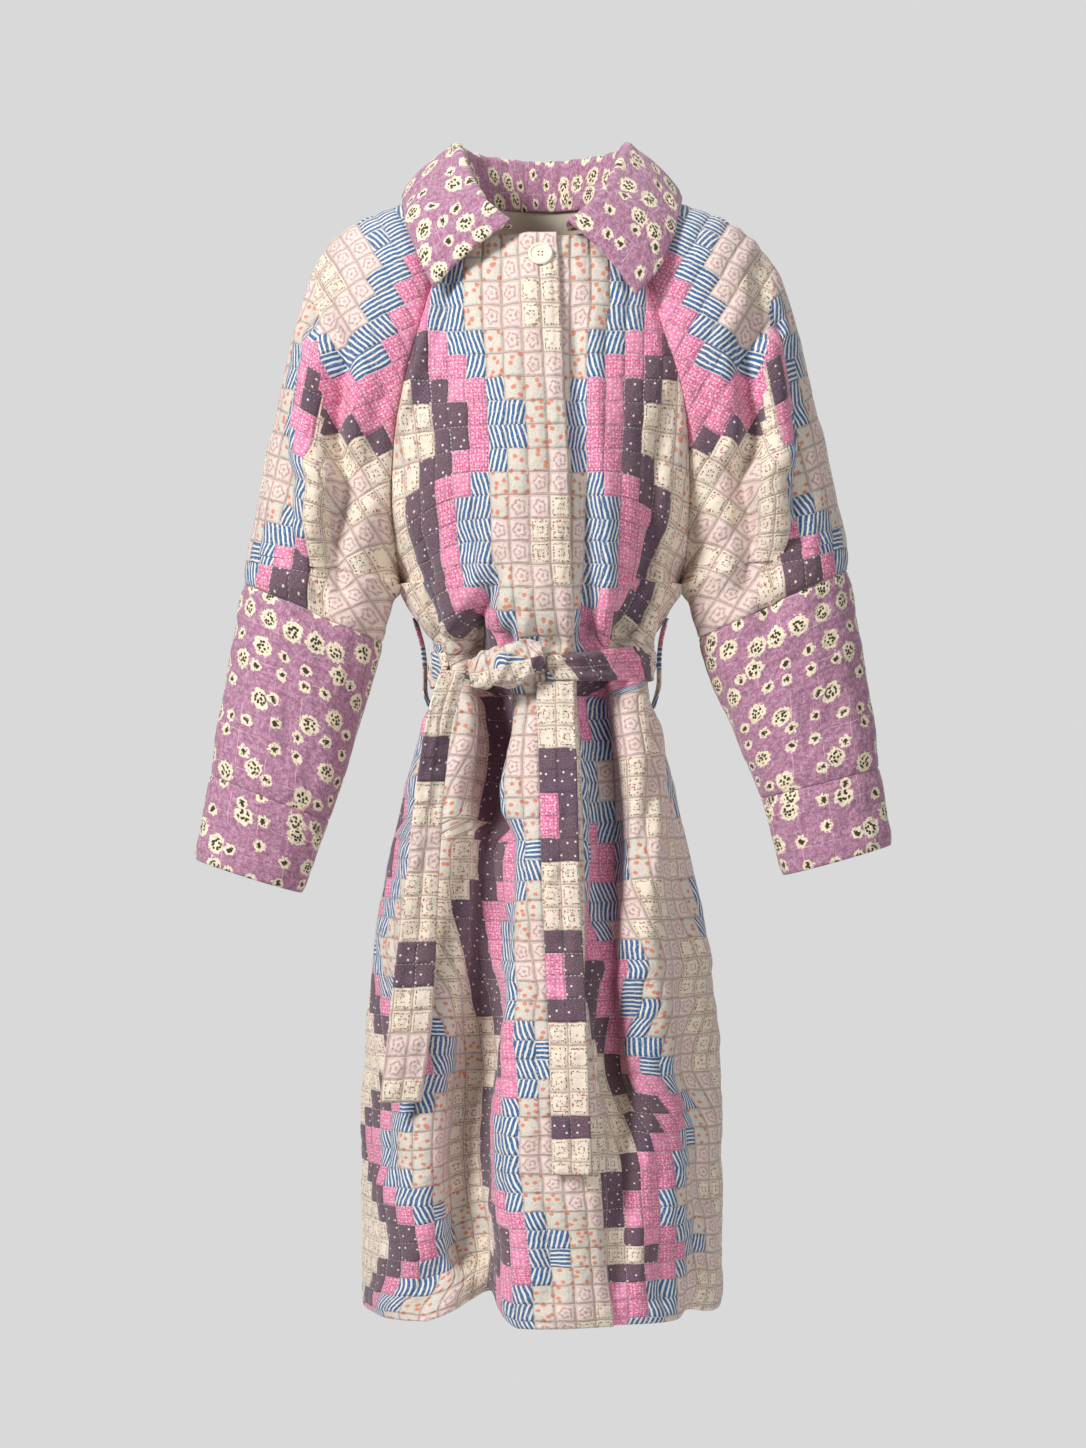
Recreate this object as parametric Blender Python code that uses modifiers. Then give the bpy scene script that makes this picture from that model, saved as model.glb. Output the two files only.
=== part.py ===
"""A quilted patchwork coat, hollow and filled out as it is worn: raglan sleeves, a pointed fall
collar, a button at the neck and a tied belt.

Metres, +Z up, the front towards -Y, the wearer's right at -X. The origin is the middle of the
neck base. Every panel is a wall between an inner skin, worked out from the tables below, and an
outer face whose quilted channels stand proud of it.
"""

import math

import bpy
import mathutils
import numpy as np

# Cloth
WALL = 0.003
PUFF = 0.0022
CHANNEL = 0.021
SEAM_GAP = 0.0006
ARMHOLE_SPREAD = 0.0075
LINING_WALL = 0.0012
SKIRT_RADIUS = 0.173

# Closure and belt
LAP = 0.0072
LAP_WIDTH = 0.26
LAP_RAMP = 0.22
BUTTON_RADIUS = 0.0125
BUTTON_THICK = 0.0034
BUTTON_AT = (-0.0026, -0.062)
BUTTON_SUNK = 0.0014
BELT_WALL = 0.0026
BELT_PUFF = 0.0012
BELT_CLEAR = 0.0008

# Rows of the tables that mark a place on the garment
UNDERARM = 7
ELBOW = 8
CUFF_SEAM = 12
CUFF_END = 13
HEM = 17

COLOURS = {
    "patchwork": (0.72, 0.58, 0.56),
    "floral": (0.45, 0.22, 0.40),
    "lining": (0.76, 0.70, 0.60),
    "belt": (0.66, 0.50, 0.50),
    "button": (0.86, 0.80, 0.66),
}


class Table:
    """A short table with named columns, read between its rows along a smooth curve."""

    def __init__(self, names, rows):
        self.names = names.split()
        self.rows = np.array(rows, float)

    def read(self, name, at):
        """The named column where the first column equals `at`.

        Cubic pieces whose slope at a row is the harmonic mean of its two chords' slopes, or none
        where they differ in sign, so that the curve never overshoots.
        """
        keys = self.rows[:, 0]
        values = self.rows[:, self.names.index(name)]
        at = np.clip(np.asarray(at, float), keys[0], keys[-1])
        steps = np.diff(keys)
        chords = np.diff(values) / steps
        before, after = chords[:-1], chords[1:]
        rising = before * after > 0
        total = np.where(rising, before + after, 1.0)
        inner = np.where(rising, 2 * before * after / total, 0.0)
        slopes = np.concatenate([chords[:1], inner, chords[-1:]])
        i = np.clip(np.searchsorted(keys, at, side="right") - 1, 0, len(steps) - 1)
        t = (at - keys[i]) / steps[i]
        return (
            values[i] * (1 + 2 * t) * (1 - t) ** 2
            + slopes[i] * steps[i] * t * (1 - t) ** 2
            + values[i + 1] * t * t * (3 - 2 * t)
            + slopes[i + 1] * steps[i] * t * t * (t - 1)
        )


# The body from neck edge to hem. z is the height at the middle and rise what the row gains at its
# ends; right and left are the half widths to the raglan seam, or to the side seam below the
# underarm; back_share narrows the back between its raglan seams.
BODY = Table(
    "row z_front rise_front z_back rise_back right left back_share front back",
    [
        (0, -0.042, 0.018, 0.000, 0.004, 0.083, 0.081, 0.72, 0.078, 0.072),
        (1, -0.086, 0.006, -0.056, 0.006, 0.109, 0.102, 0.80, 0.097, 0.093),
        (2, -0.140, 0.001, -0.124, 0.002, 0.127, 0.122, 0.88, 0.111, 0.105),
        (3, -0.201, 0.000, -0.196, 0.000, 0.143, 0.141, 0.93, 0.120, 0.112),
        (4, -0.250, 0.000, -0.250, 0.000, 0.151, 0.147, 0.96, 0.124, 0.114),
        (5, -0.304, 0.000, -0.304, 0.000, 0.154, 0.149, 0.99, 0.125, 0.112),
        (6, -0.352, 0.000, -0.352, 0.000, 0.151, 0.147, 1.00, 0.123, 0.109),
        (7, -0.390, 0.000, -0.390, 0.000, 0.145, 0.140, 1.00, 0.120, 0.105),
        (8, -0.426, 0.000, -0.426, 0.000, 0.127, 0.122, 1.00, 0.113, 0.101),
        (9, -0.452, 0.000, -0.452, 0.000, 0.109, 0.107, 1.00, 0.098, 0.090),
        (10, -0.478, 0.000, -0.478, 0.000, 0.105, 0.103, 1.00, 0.094, 0.086),
        (11, -0.504, 0.000, -0.504, 0.000, 0.107, 0.105, 1.00, 0.096, 0.088),
        (12, -0.560, 0.000, -0.560, 0.000, 0.126, 0.120, 1.00, 0.106, 0.101),
        (13, -0.680, 0.000, -0.680, 0.000, 0.156, 0.150, 1.00, 0.126, 0.126),
        (14, -0.800, 0.000, -0.800, 0.000, 0.173, 0.169, 1.00, 0.142, 0.144),
        (15, -0.910, 0.000, -0.910, 0.000, 0.180, 0.177, 1.00, 0.152, 0.155),
        (16, -1.025, 0.000, -1.025, 0.000, 0.182, 0.180, 1.00, 0.160, 0.163),
        (17, -1.132, 0.000, -1.132, 0.000, 0.182, 0.180, 1.00, 0.165, 0.166),
    ],
)

# The overlapping front edge: its distance from the middle, towards the wearer's left.
FRONT_EDGE = Table(
    "row x",
    [(0, 0.014), (2, 0.019), (5, 0.026), (9, 0.031), (12, 0.036), (15, 0.050), (17, 0.067)],
)

# How the sleeves round out. front and back are their depths, middle the plane between the two;
# turn is the angle at which the section leaves its seam, a quarter turn back where it is closed.
SLEEVE_ROUND = Table(
    "row front back middle turn",
    [
        (0, 0.042, 0.058, 0.000, 0.00),
        (1, 0.064, 0.076, 0.000, -0.12),
        (2, 0.081, 0.086, 0.000, -0.25),
        (3, 0.086, 0.088, 0.000, -0.42),
        (4, 0.083, 0.084, 0.000, -0.62),
        (5, 0.078, 0.078, 0.000, -0.86),
        (6, 0.073, 0.072, 0.000, -1.16),
        (7, 0.069, 0.067, 0.000, -math.pi / 2),
        (8, 0.064, 0.062, -0.003, -math.pi / 2),
        (10, 0.055, 0.054, -0.012, -math.pi / 2),
        (12, 0.045, 0.044, -0.021, -math.pi / 2),
        (13, 0.040, 0.040, -0.026, -math.pi / 2),
    ],
)

# The outer edge of each sleeve seen from the front, from the neck to the cuff.
SLEEVE_OUTER = {
    "right": Table(
        "row x z",
        [
            (0, -0.084, 0.004),
            (1, -0.146, -0.006),
            (2, -0.198, -0.030),
            (3, -0.232, -0.066),
            (4, -0.250, -0.130),
            (5, -0.268, -0.205),
            (6, -0.284, -0.285),
            (7, -0.298, -0.360),
            (8, -0.304, -0.392),
            (10, -0.321, -0.490),
            (12, -0.337, -0.587),
            (13, -0.353, -0.674),
        ],
    ),
    "left": Table(
        "row x z",
        [
            (0, 0.083, 0.004),
            (1, 0.146, -0.006),
            (2, 0.196, -0.028),
            (3, 0.230, -0.060),
            (4, 0.254, -0.124),
            (5, 0.273, -0.196),
            (6, 0.291, -0.275),
            (7, 0.306, -0.346),
            (8, 0.310, -0.378),
            (10, 0.327, -0.480),
            (12, 0.341, -0.580),
            (13, 0.354, -0.659),
        ],
    ),
}

# The inner edge of each sleeve below the underarm.
SLEEVE_INNER = {
    "right": Table(
        "row x z",
        [
            (7, -0.145, -0.390),
            (7.4, -0.158, -0.409),
            (8, -0.168, -0.450),
            (9, -0.180, -0.497),
            (10, -0.194, -0.543),
            (12, -0.222, -0.633),
            (13, -0.249, -0.707),
        ],
    ),
    "left": Table(
        "row x z",
        [
            (7, 0.140, -0.390),
            (7.4, 0.153, -0.409),
            (8, 0.163, -0.446),
            (9, 0.176, -0.490),
            (10, 0.196, -0.535),
            (12, 0.226, -0.610),
            (13, 0.248, -0.689),
        ],
    ),
}

# Folds: troughs where depth is below nought, ridges above. `across` runs from -1 at the wearer's
# right seam to 1 at the left one, and on a sleeve from -1 at the front seam round to 1.
FOLD_COLUMNS = "row_top row_bottom across_top across_bottom width depth_top depth_bottom".split()
FRONT_FOLDS = [
    (8.6, 18, -0.44, -0.235, 0.115, -0.010, -0.056),
    (9.4, 15.6, 0.42, 0.300, 0.085, -0.012, -0.036),
    (12.0, 18, -0.05, 0.060, 0.130, 0.002, 0.010),
    (11.5, 18, -0.66, -0.560, 0.130, 0.004, 0.012),
    (12.5, 18, 0.44, 0.420, 0.110, 0.003, 0.009),
    (13.0, 18, 0.66, 0.640, 0.090, -0.003, -0.012),
    (5.2, 9.4, 0.70, 0.560, 0.070, -0.004, -0.009),
    (5.8, 9.4, -0.66, -0.560, 0.070, -0.004, -0.008),
    (6.5, 9.4, 0.25, 0.240, 0.070, -0.002, -0.006),
    (6.5, 9.4, -0.25, -0.240, 0.080, -0.002, -0.005),
    (1.5, 5.0, -0.62, -0.700, 0.090, -0.003, -0.006),
]
BACK_FOLDS = [
    (8.8, 18, -0.34, -0.300, 0.110, -0.008, -0.040),
    (8.8, 18, 0.30, 0.340, 0.100, -0.008, -0.034),
    (9.2, 18, 0.02, 0.000, 0.130, 0.003, 0.012),
    (11.0, 18, -0.70, -0.650, 0.110, 0.003, 0.010),
    (11.0, 18, 0.68, 0.660, 0.110, 0.003, 0.010),
    (5.0, 9.4, -0.60, -0.460, 0.080, -0.004, -0.009),
    (5.4, 9.4, 0.60, 0.480, 0.080, -0.004, -0.008),
    (6.6, 9.4, 0.00, 0.010, 0.090, -0.002, -0.006),
]
SLEEVE_FOLDS = {
    "right": [
        (2.6, 8.7, -0.12, -0.56, 0.110, -0.010, -0.016),
        (5.0, 9.0, 0.45, 0.58, 0.120, -0.004, -0.010),
        (8.4, 11.6, -0.40, -0.62, 0.110, -0.006, -0.008),
        (8.2, 11.8, 0.35, 0.50, 0.140, -0.006, -0.006),
    ],
    "left": [
        (3.4, 8.9, -0.26, -0.56, 0.085, -0.012, -0.020),
        (5.0, 9.0, 0.42, 0.60, 0.120, -0.004, -0.010),
        (8.4, 11.6, -0.62, -0.36, 0.110, -0.006, -0.008),
        (8.2, 11.8, 0.30, 0.48, 0.140, -0.006, -0.006),
    ],
}

# The collar by degrees round the neck, from the wearer's right front end over the back to the left
# one: the top of its roll and its outer edge.
COLLAR = Table(
    "turn roll_x roll_y roll_z edge_x edge_y edge_z",
    [
        (22, -0.034, -0.094, -0.029, -0.110, -0.098, -0.097),
        (45, -0.056, -0.084, -0.012, -0.125, -0.085, -0.064),
        (68, -0.075, -0.054, 0.020, -0.139, -0.060, -0.026),
        (92, -0.089, 0.000, 0.060, -0.144, 0.000, 0.006),
        (135, -0.070, 0.058, 0.056, -0.108, 0.088, -0.010),
        (180, 0.000, 0.083, 0.051, 0.000, 0.116, -0.024),
        (225, 0.069, 0.058, 0.056, 0.107, 0.088, -0.010),
        (268, 0.087, 0.000, 0.060, 0.142, 0.000, 0.004),
        (292, 0.072, -0.054, 0.020, 0.134, -0.060, -0.034),
        (315, 0.050, -0.086, -0.012, 0.118, -0.088, -0.074),
        (342, 0.026, -0.096, -0.029, 0.093, -0.100, -0.104),
    ],
)
COLLAR_ROLL = 0.0026
COLLAR_BULGE = 0.006
COLLAR_SET_IN = 0.0016
COLLAR_CLEAR = 0.0027
COLLAR_END_RISE = 0.0045
COLLAR_ENDS = (-0.34, 0.27)

# The belt's middle line seen from the front, and its half width.
BELT_RING = Table(
    "across z half",
    [
        (-1, -0.480, 0.019),
        (-0.4, -0.479, 0.015),
        (0, -0.479, 0.0125),
        (0.4, -0.475, 0.016),
        (1, -0.471, 0.0195),
    ],
)
# The knot from its lower end at the wearer's right to where it meets the belt.
KNOT = Table(
    "row x y z tall deep",
    [
        (0, -0.0745, -0.1166, -0.484, 0.012, 0.008),
        (1, -0.060, -0.1196, -0.482, 0.018, 0.011),
        (2, -0.042, -0.1216, -0.478, 0.021, 0.013),
        (3, -0.020, -0.1211, -0.471, 0.019, 0.012),
        (4, 0.000, -0.1181, -0.466, 0.014, 0.009),
    ],
)
TAILS = {
    "right": Table(
        "row x y z half lean",
        [
            (0, -0.0895, -0.118, -0.481, 0.014, 0.3),
            (1, -0.103, -0.124, -0.528, 0.015, 0.5),
            (2, -0.112, -0.126, -0.590, 0.016, 0.3),
            (3, -0.123, -0.132, -0.720, 0.019, 0.3),
            (4, -0.132, -0.138, -0.830, 0.022, 0.2),
            (5, -0.142, -0.142, -0.912, 0.021, 0.2),
        ],
    ),
    "left": Table(
        "row x y z half lean",
        [
            (0, 0.012, -0.1095, -0.4921, 0.019, 0.0),
            (1, 0.015, -0.124, -0.580, 0.019, -0.1),
            (2, 0.018, -0.134, -0.700, 0.019, 0.1),
            (3, 0.024, -0.148, -0.830, 0.019, -0.1),
            (4, 0.029, -0.164, -0.980, 0.020, 0.0),
        ],
    ),
}

# The belt loops: the body rows they are sewn at, above and below the belt.
LOOP_ROWS = (8.0, 11.35)
LOOP_HALF = 0.0035
LOOP_WALL = 0.0016
LOOP_CLEAR = 0.0015


def step(value):
    """A smooth step from 0 to 1."""
    value = np.clip(value, 0, 1)
    return value * value * (3 - 2 * value)


def fold_depth(folds, across, row):
    """The sum of the folds: each a bell across its centre line, faded in and out along its rows."""
    total = np.zeros(np.broadcast(across, row).shape)
    for values in folds:
        fold = dict(zip(FOLD_COLUMNS, values))
        length = fold["row_bottom"] - fold["row_top"]
        along = np.clip((row - fold["row_top"]) / length, 0, 1)
        centre = fold["across_top"] + (fold["across_bottom"] - fold["across_top"]) * along
        depth = fold["depth_top"] + (fold["depth_bottom"] - fold["depth_top"]) * along
        fade = step((row - fold["row_top"]) / 0.9) * step((fold["row_bottom"] - row) / 0.9)
        total = total + depth * fade * np.exp(-(((across - centre) / fold["width"]) ** 2))
    return total


def unit(vectors):
    return vectors / np.maximum(np.linalg.norm(vectors, axis=-1, keepdims=True), 1e-12)


def normals_of(surface, across, row):
    """The normal of a surface: the cross product of its small steps down and along."""
    small = 1e-3
    down = surface(across, row + small) - surface(across, row - small)
    along = surface(across + small, row) - surface(across - small, row)
    return unit(np.cross(down, along))


def spread(across, row):
    """How far the cloth stands sideways off the armhole seam, so that its two faces stay apart."""
    near_seam = step((1.06 - np.abs(across)) / 0.10) * step(np.abs(across) / 0.6)
    return ARMHOLE_SPREAD * near_seam * step((row - 4.6) / 1.8) * (row < UNDERARM + 0.01)


def seam_depth(row, side):
    """How far in front of or behind the middle plane the sleeve leaves its seam."""
    return SLEEVE_ROUND.read(side, row) * np.cos(SLEEVE_ROUND.read("turn", row))


def body_skin(across, row, side):
    """The body's inner face on the front or the back.

    Each row is an ellipse quarter to either hand: x = half width * sin(angle) and
    y = depth * cos(angle). Above the underarm the angle stops where the depth has come down to the
    sleeve's at the seam, and below it at a right angle.
    """
    across, row = np.broadcast_arrays(across, np.asarray(row, float))
    depth = BODY.read(side, row)
    share = np.where(across < 0, BODY.read("right", row), BODY.read("left", row))
    if side == "back":
        share = share * BODY.read("back_share", row)
    at_seam = np.where(row < UNDERARM, seam_depth(row, side), 0.0)
    last = np.arccos(np.clip(at_seam / depth, 0, 1))
    angle = np.abs(across) * last
    front = -1.0 if side == "front" else 1.0
    x = np.sign(across) * share * np.sin(angle) / np.sin(last)
    y = front * depth * np.cos(angle)
    z = BODY.read("z_" + side, row) + BODY.read("rise_" + side, row) * np.abs(across) ** 2
    skin = np.stack([x, y, z], axis=-1)
    outward = unit(np.stack([x / share**2, y / depth**2, np.zeros_like(x)], axis=-1))
    fold = fold_depth(FRONT_FOLDS if side == "front" else BACK_FOLDS, across, row)
    inside = step((1 - np.abs(across)) / 0.12)
    skin = skin + outward * (fold * inside)[..., None]
    skin[..., 0] -= np.sign(across) * spread(across, row)
    skin[..., 2] += np.maximum(-fold, 0) * inside * 0.55 * step((row - 14) / 3)
    return skin


def edge_across(row):
    """Where the overlapping front edge lies, as a share of the way to the wearer's left seam."""
    depth = BODY.read("front", row)
    at_seam = np.where(row < UNDERARM, seam_depth(row, "front"), 0.0)
    last = np.arccos(np.clip(at_seam / depth, 0, 1))
    sine = FRONT_EDGE.read("x", row) / BODY.read("left", row) * np.sin(last)
    return np.arcsin(np.clip(sine, -1, 1)) / last


def lap_lift(across, row):
    """How far the overlapping front stands off the one below it, near its edge."""
    start = edge_across(row) - LAP_WIDTH - LAP_RAMP
    return LAP * step((across - start) / LAP_RAMP)


def sleeve_skin(around, row, hand):
    """A sleeve's inner face: from the front seam (-1) over the outer edge (0) to the back seam (1).

    Each half is an arc that turns from its seam to the outer edge: across = sin(angle), scaled to
    run from seam to edge, and y = depth * cos(angle).
    """
    around, row = np.broadcast_arrays(np.asarray(around, float), np.asarray(row, float))
    turn = SLEEVE_ROUND.read("turn", row)
    angle = turn + (1 - np.abs(around)) * (math.pi / 2 - turn)
    across = (np.sin(angle) - np.sin(turn)) / (1 - np.sin(turn))
    ahead = around < 0
    depth = np.where(ahead, -SLEEVE_ROUND.read("front", row), SLEEVE_ROUND.read("back", row))
    y = SLEEVE_ROUND.read("middle", row) + depth * np.cos(angle)
    way = -1.0 if hand == "right" else 1.0
    half = BODY.read(hand, row)
    seam_x = way * half * np.where(ahead, 1.0, BODY.read("back_share", row))
    seam_z = np.where(
        ahead,
        BODY.read("z_front", row) + BODY.read("rise_front", row),
        BODY.read("z_back", row) + BODY.read("rise_back", row),
    )
    inner_x = np.where(row <= UNDERARM, seam_x, SLEEVE_INNER[hand].read("x", row))
    inner_z = np.where(row <= UNDERARM, seam_z, SLEEVE_INNER[hand].read("z", row))
    x = inner_x + (SLEEVE_OUTER[hand].read("x", row) - inner_x) * across
    z = inner_z + (SLEEVE_OUTER[hand].read("z", row) - inner_z) * across
    skin = np.stack([x, y, z], axis=-1)
    outward = unit(np.stack([way * np.sin(angle), np.sign(depth) * np.cos(angle), 0 * x], axis=-1))
    inside = step((1 - np.abs(around)) / 0.12)
    fold = fold_depth(SLEEVE_FOLDS[hand], around, row) * inside
    skin = skin + outward * fold[..., None]
    skin[..., 0] += way * spread(around, row)
    return skin


def channels(length):
    """The number of quilted channels that fit a length, at least two."""
    return max(2, round(length / CHANNEL))


def wall_faces(rows, columns, closed):
    """Faces of a wall: a full outer grid, an inner one of every second column, and their rims."""
    inner = columns // 2 if closed else (columns + 1) // 2
    first = rows * columns
    faces = []
    for r in range(rows - 1):
        for c in range(columns if closed else columns - 1):
            d = (c + 1) % columns
            a, b = r * columns + c, r * columns + d
            faces.append((a, a + columns, b + columns, b))
        for c in range(inner if closed else inner - 1):
            d = (c + 1) % inner
            a, b = first + r * inner + c, first + r * inner + d
            faces.append((a, b, b + inner, a + inner))
    for edge, inner_edge, way in ((0, first, 1), ((rows - 1) * columns, first + (rows - 1) * inner, -1)):
        for c in range(inner if closed else inner - 1):
            near, crest, far = edge + 2 * c, edge + 2 * c + 1, edge + (2 * c + 2) % columns
            a, b = inner_edge + c, inner_edge + (c + 1) % inner
            faces += [(a, near, crest)[::way], (a, crest, b)[::way], (b, crest, far)[::way]]
    if not closed:
        for r in range(rows - 1):
            a, b = r * columns, first + r * inner
            faces.append((a, b, b + inner, a + columns))
            a, b = a + columns - 1, b + inner - 1
            faces.append((a, a + columns, b + inner, b))
    return faces


def quilted(skin, normal, thick=WALL, puff=PUFF):
    """The outer face over a skin: the wall's thickness, and a puff on every second column.

    A channel narrower than its proper width is less full.
    """
    after = np.roll(skin, -1, axis=1)
    width = np.linalg.norm(after - np.roll(skin, 1, axis=1), axis=2)[:, 1::2]
    height = np.full(skin.shape[:2], thick)
    height[:, 1::2] += puff * np.minimum(1, width / CHANNEL)
    return skin + normal * height[..., None]


def add_object(name, points, faces, colour, smooth=True):
    mesh = bpy.data.meshes.new(name)
    mesh.from_pydata([tuple(p) for p in points.tolist()], [], faces)
    mesh.validate()
    mesh.update()
    if smooth:
        mesh.shade_smooth()
        mesh.set_sharp_from_angle(angle=math.radians(40))
    piece = bpy.data.objects.new(name, mesh)
    mesh.materials.append(material(colour))
    coat.objects.link(piece)
    return piece


def wall(name, skin, normal, colour, closed=False, thick=WALL, puff=PUFF):
    """A wall over a skin of rows by columns, as one closed body."""
    rows, columns = skin.shape[:2]
    outer = quilted(skin, normal, thick, puff).reshape(-1, 3)
    inner = skin[:, ::2].reshape(-1, 3)
    faces = wall_faces(rows, columns, closed)
    turned = np.cross(skin[1:, :-1] - skin[:-1, :-1], skin[:-1, 1:] - skin[:-1, :-1])
    if np.sum(turned * normal[:-1, :-1]) < 0:
        faces = [face[::-1] for face in faces]
    return add_object(name, np.concatenate([outer, inner]), faces, colour)


def material(colour):
    """A plain principled material of the named colour."""
    found = bpy.data.materials.get(colour)
    if found:
        return found
    made = bpy.data.materials.new(colour)
    made.use_nodes = True
    shader = made.node_tree.nodes["Principled BSDF"]
    shader.inputs["Base Color"].default_value = (*COLOURS[colour], 1)
    shader.inputs["Roughness"].default_value = 0.35 if colour == "button" else 0.9
    shader.inputs["Metallic"].default_value = 0
    return made


def meet(first, second, down=None):
    """One normal for two edges that are sewn together, turned down where they close underneath."""
    mean = first + second
    if down is not None:
        mean = unit(mean) * (1 - down[:, None]) + np.array([0, 0, -1.0]) * down[:, None]
    return unit(mean)


def draw_in(skin, normal, column, beside, shift=0.0):
    """Moves an edge column off its seam by half the gap, along the cloth and sideways."""
    along = skin[:, beside] - skin[:, column]
    across = along - normal[:, column] * np.sum(along * normal[:, column], axis=1)[:, None]
    skin[:, column] += unit(across) * SEAM_GAP / 2
    skin[:, column, 0] += shift


def clear_of(points, cloud, facing, gap):
    """Moves each point out until it clears the nearest cloud point's face by the gap."""
    moved = points.reshape(-1, 3).copy()
    for _ in range(3):
        distance = np.linalg.norm(moved[:, None] - cloud[None], axis=2)
        near = np.argmin(distance, axis=1)
        depth = np.sum((moved - cloud[near]) * facing[near], axis=1)
        moved += facing[near] * np.maximum(gap - depth, 0)[:, None]
    return moved.reshape(points.shape)


# Scene, collection and panels
for old in list(bpy.data.objects):
    bpy.data.objects.remove(old, do_unlink=True)
coat = bpy.data.collections.new("coat")
bpy.context.scene.collection.children.link(coat)
cutters = bpy.data.collections.new("coat_cutters")
bpy.context.scene.collection.children.link(cutters)

OPEN_ROWS = [0, 0.5, 1, 2, 3, 4, 5, 6, 6.6, UNDERARM]
BODY_ROWS = np.array(OPEN_ROWS + [7.4, 8, 9, 10, 11, 11.6, 12.4, 13.3, 14.2, 15.2, 16.2, HEM])
UPPER_ROWS = np.array(OPEN_ROWS + [7.4, ELBOW])
LOWER_ROWS = np.array([ELBOW, 9, 10, 11, CUFF_SEAM])
CUFF_ROWS = np.array([CUFF_SEAM, 12.5, CUFF_END])
SLEEVE_CHANNELS = 20


def front(across, row):
    return body_skin(across, row, "front")


def lapped_front(across, row):
    """The front of the wearer's right, which stands off the other where it overlaps it."""
    out = normals_of(front, across, row)
    return front(across, row) + out * lap_lift(across, row)[..., None]


def back(across, row):
    return body_skin(across, row, "back")


def sleeve(hand):
    """The surface of one sleeve."""
    return lambda around, row: sleeve_skin(around, row, hand)


def grid(surface, start, end, count, rows, way):
    """A surface's skin and outward normals on two columns for each channel between two edges."""
    share = np.linspace(0, 1, 2 * count + 1)[None, :]
    start = np.broadcast_to(start, rows.shape)[:, None]
    end = np.broadcast_to(end, rows.shape)[:, None]
    across = start + (end - start) * share
    row = np.broadcast_to(rows[:, None], across.shape)
    return surface(across, row), way * normals_of(surface, across, row)


def make_panels():
    """The two fronts, the back and the upper sleeves, whose sewn edges share their normals."""
    edge = edge_across(BODY_ROWS)
    quarter = math.pi / 2 * SKIRT_RADIUS
    right, left = channels(quarter * 1.2), channels(quarter * 1.04)
    made = {
        "right": grid(lapped_front, -1.0, edge, right, BODY_ROWS, 1),
        "left": grid(front, edge - LAP_WIDTH, 1.0, left, BODY_ROWS, 1),
        "back": grid(back, -1.0, 1.0, channels(quarter * 2), BODY_ROWS, -1),
    }
    skins = {name: skin for name, (skin, _) in made.items()}
    normals = {name: normal for name, (_, normal) in made.items()}
    sleeves, facing = {}, {}
    for hand, way in (("right", -1), ("left", 1)):
        sleeves[hand], facing[hand] = grid(sleeve(hand), -1.0, 1.0, SLEEVE_CHANNELS, UPPER_ROWS, way)
    count = len(OPEN_ROWS)
    down = step((np.array(OPEN_ROWS) - 5.2) / (UNDERARM - 5.2))
    for hand, edge_column, back_column in (("right", 0, 0), ("left", -1, -1)):
        front_edge, back_edge = normals[hand][:, edge_column], normals["back"][:, back_column]
        sleeve_front, sleeve_back = facing[hand][:, 0], facing[hand][:, -1]
        fore = meet(front_edge[:count], sleeve_front[:count], down)
        aft = meet(back_edge[:count], sleeve_back[:count], down)
        front_edge[:count] = sleeve_front[:count] = fore
        back_edge[:count] = sleeve_back[:count] = aft
        side = meet(front_edge[count:], back_edge[count:])
        front_edge[count:] = back_edge[count:] = side
        under = meet(sleeve_front[count:], sleeve_back[count:])
        sleeve_front[count:] = sleeve_back[count:] = under
        way = 1.0 if hand == "right" else -1.0
        beside = 1 if edge_column == 0 else -2
        draw_in(skins[hand], normals[hand], edge_column, beside, way * SEAM_GAP / 2)
        draw_in(skins["back"], normals["back"], back_column, beside, way * SEAM_GAP / 2)
        draw_in(sleeves[hand], facing[hand], 0, 1, -way * SEAM_GAP / 2)
        draw_in(sleeves[hand], facing[hand], -1, -2, -way * SEAM_GAP / 2)
    wall("front_right", skins["right"], normals["right"], "patchwork")
    wall("front_left", skins["left"], normals["left"], "patchwork")
    wall("back", skins["back"], normals["back"], "patchwork")
    for hand in ("right", "left"):
        wall(f"sleeve_{hand}_upper", sleeves[hand], facing[hand], "patchwork")
    return skins["back"], normals["back"]


def make_lower_sleeve(hand, name, rows):
    """A closed tube of the sleeve between two of its seams, on the upper sleeve's columns."""
    way = -1 if hand == "right" else 1
    skin, normal = grid(sleeve(hand), -1.0, 1.0, SLEEVE_CHANNELS, rows, way)
    skin[0] += unit(skin[1] - skin[0]) * SEAM_GAP
    wall(name, skin[:, :-1], normal[:, :-1], "floral", closed=True)


def outside(first, last, sleeves=True):
    """Points all over the outer faces between two rows, and the way that each of them faces."""
    rows = np.linspace(first, last, 34)
    edge = edge_across(rows)
    pieces = [
        grid(lapped_front, -1.0, edge, 30, rows, 1),
        grid(front, edge, 1.0, 30, rows, 1),
        grid(back, -1.0, 1.0, 40, rows, -1),
    ]
    if sleeves:
        pieces.append(grid(sleeve("right"), -1.0, 1.0, 30, rows, -1))
        pieces.append(grid(sleeve("left"), -1.0, 1.0, 30, rows, 1))
    points = [(skin + normal * (WALL + PUFF)).reshape(-1, 3) for skin, normal in pieces]
    return np.concatenate(points), np.concatenate([normal.reshape(-1, 3) for _, normal in pieces])


def resampled(line, count):
    """A line of points at even distances along itself."""
    length = np.concatenate([[0], np.cumsum(np.linalg.norm(np.diff(line, axis=0), axis=1))])
    at = np.linspace(0, length[-1], count)
    return np.stack([np.interp(at, length, line[:, k]) for k in range(3)], axis=1)


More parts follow.
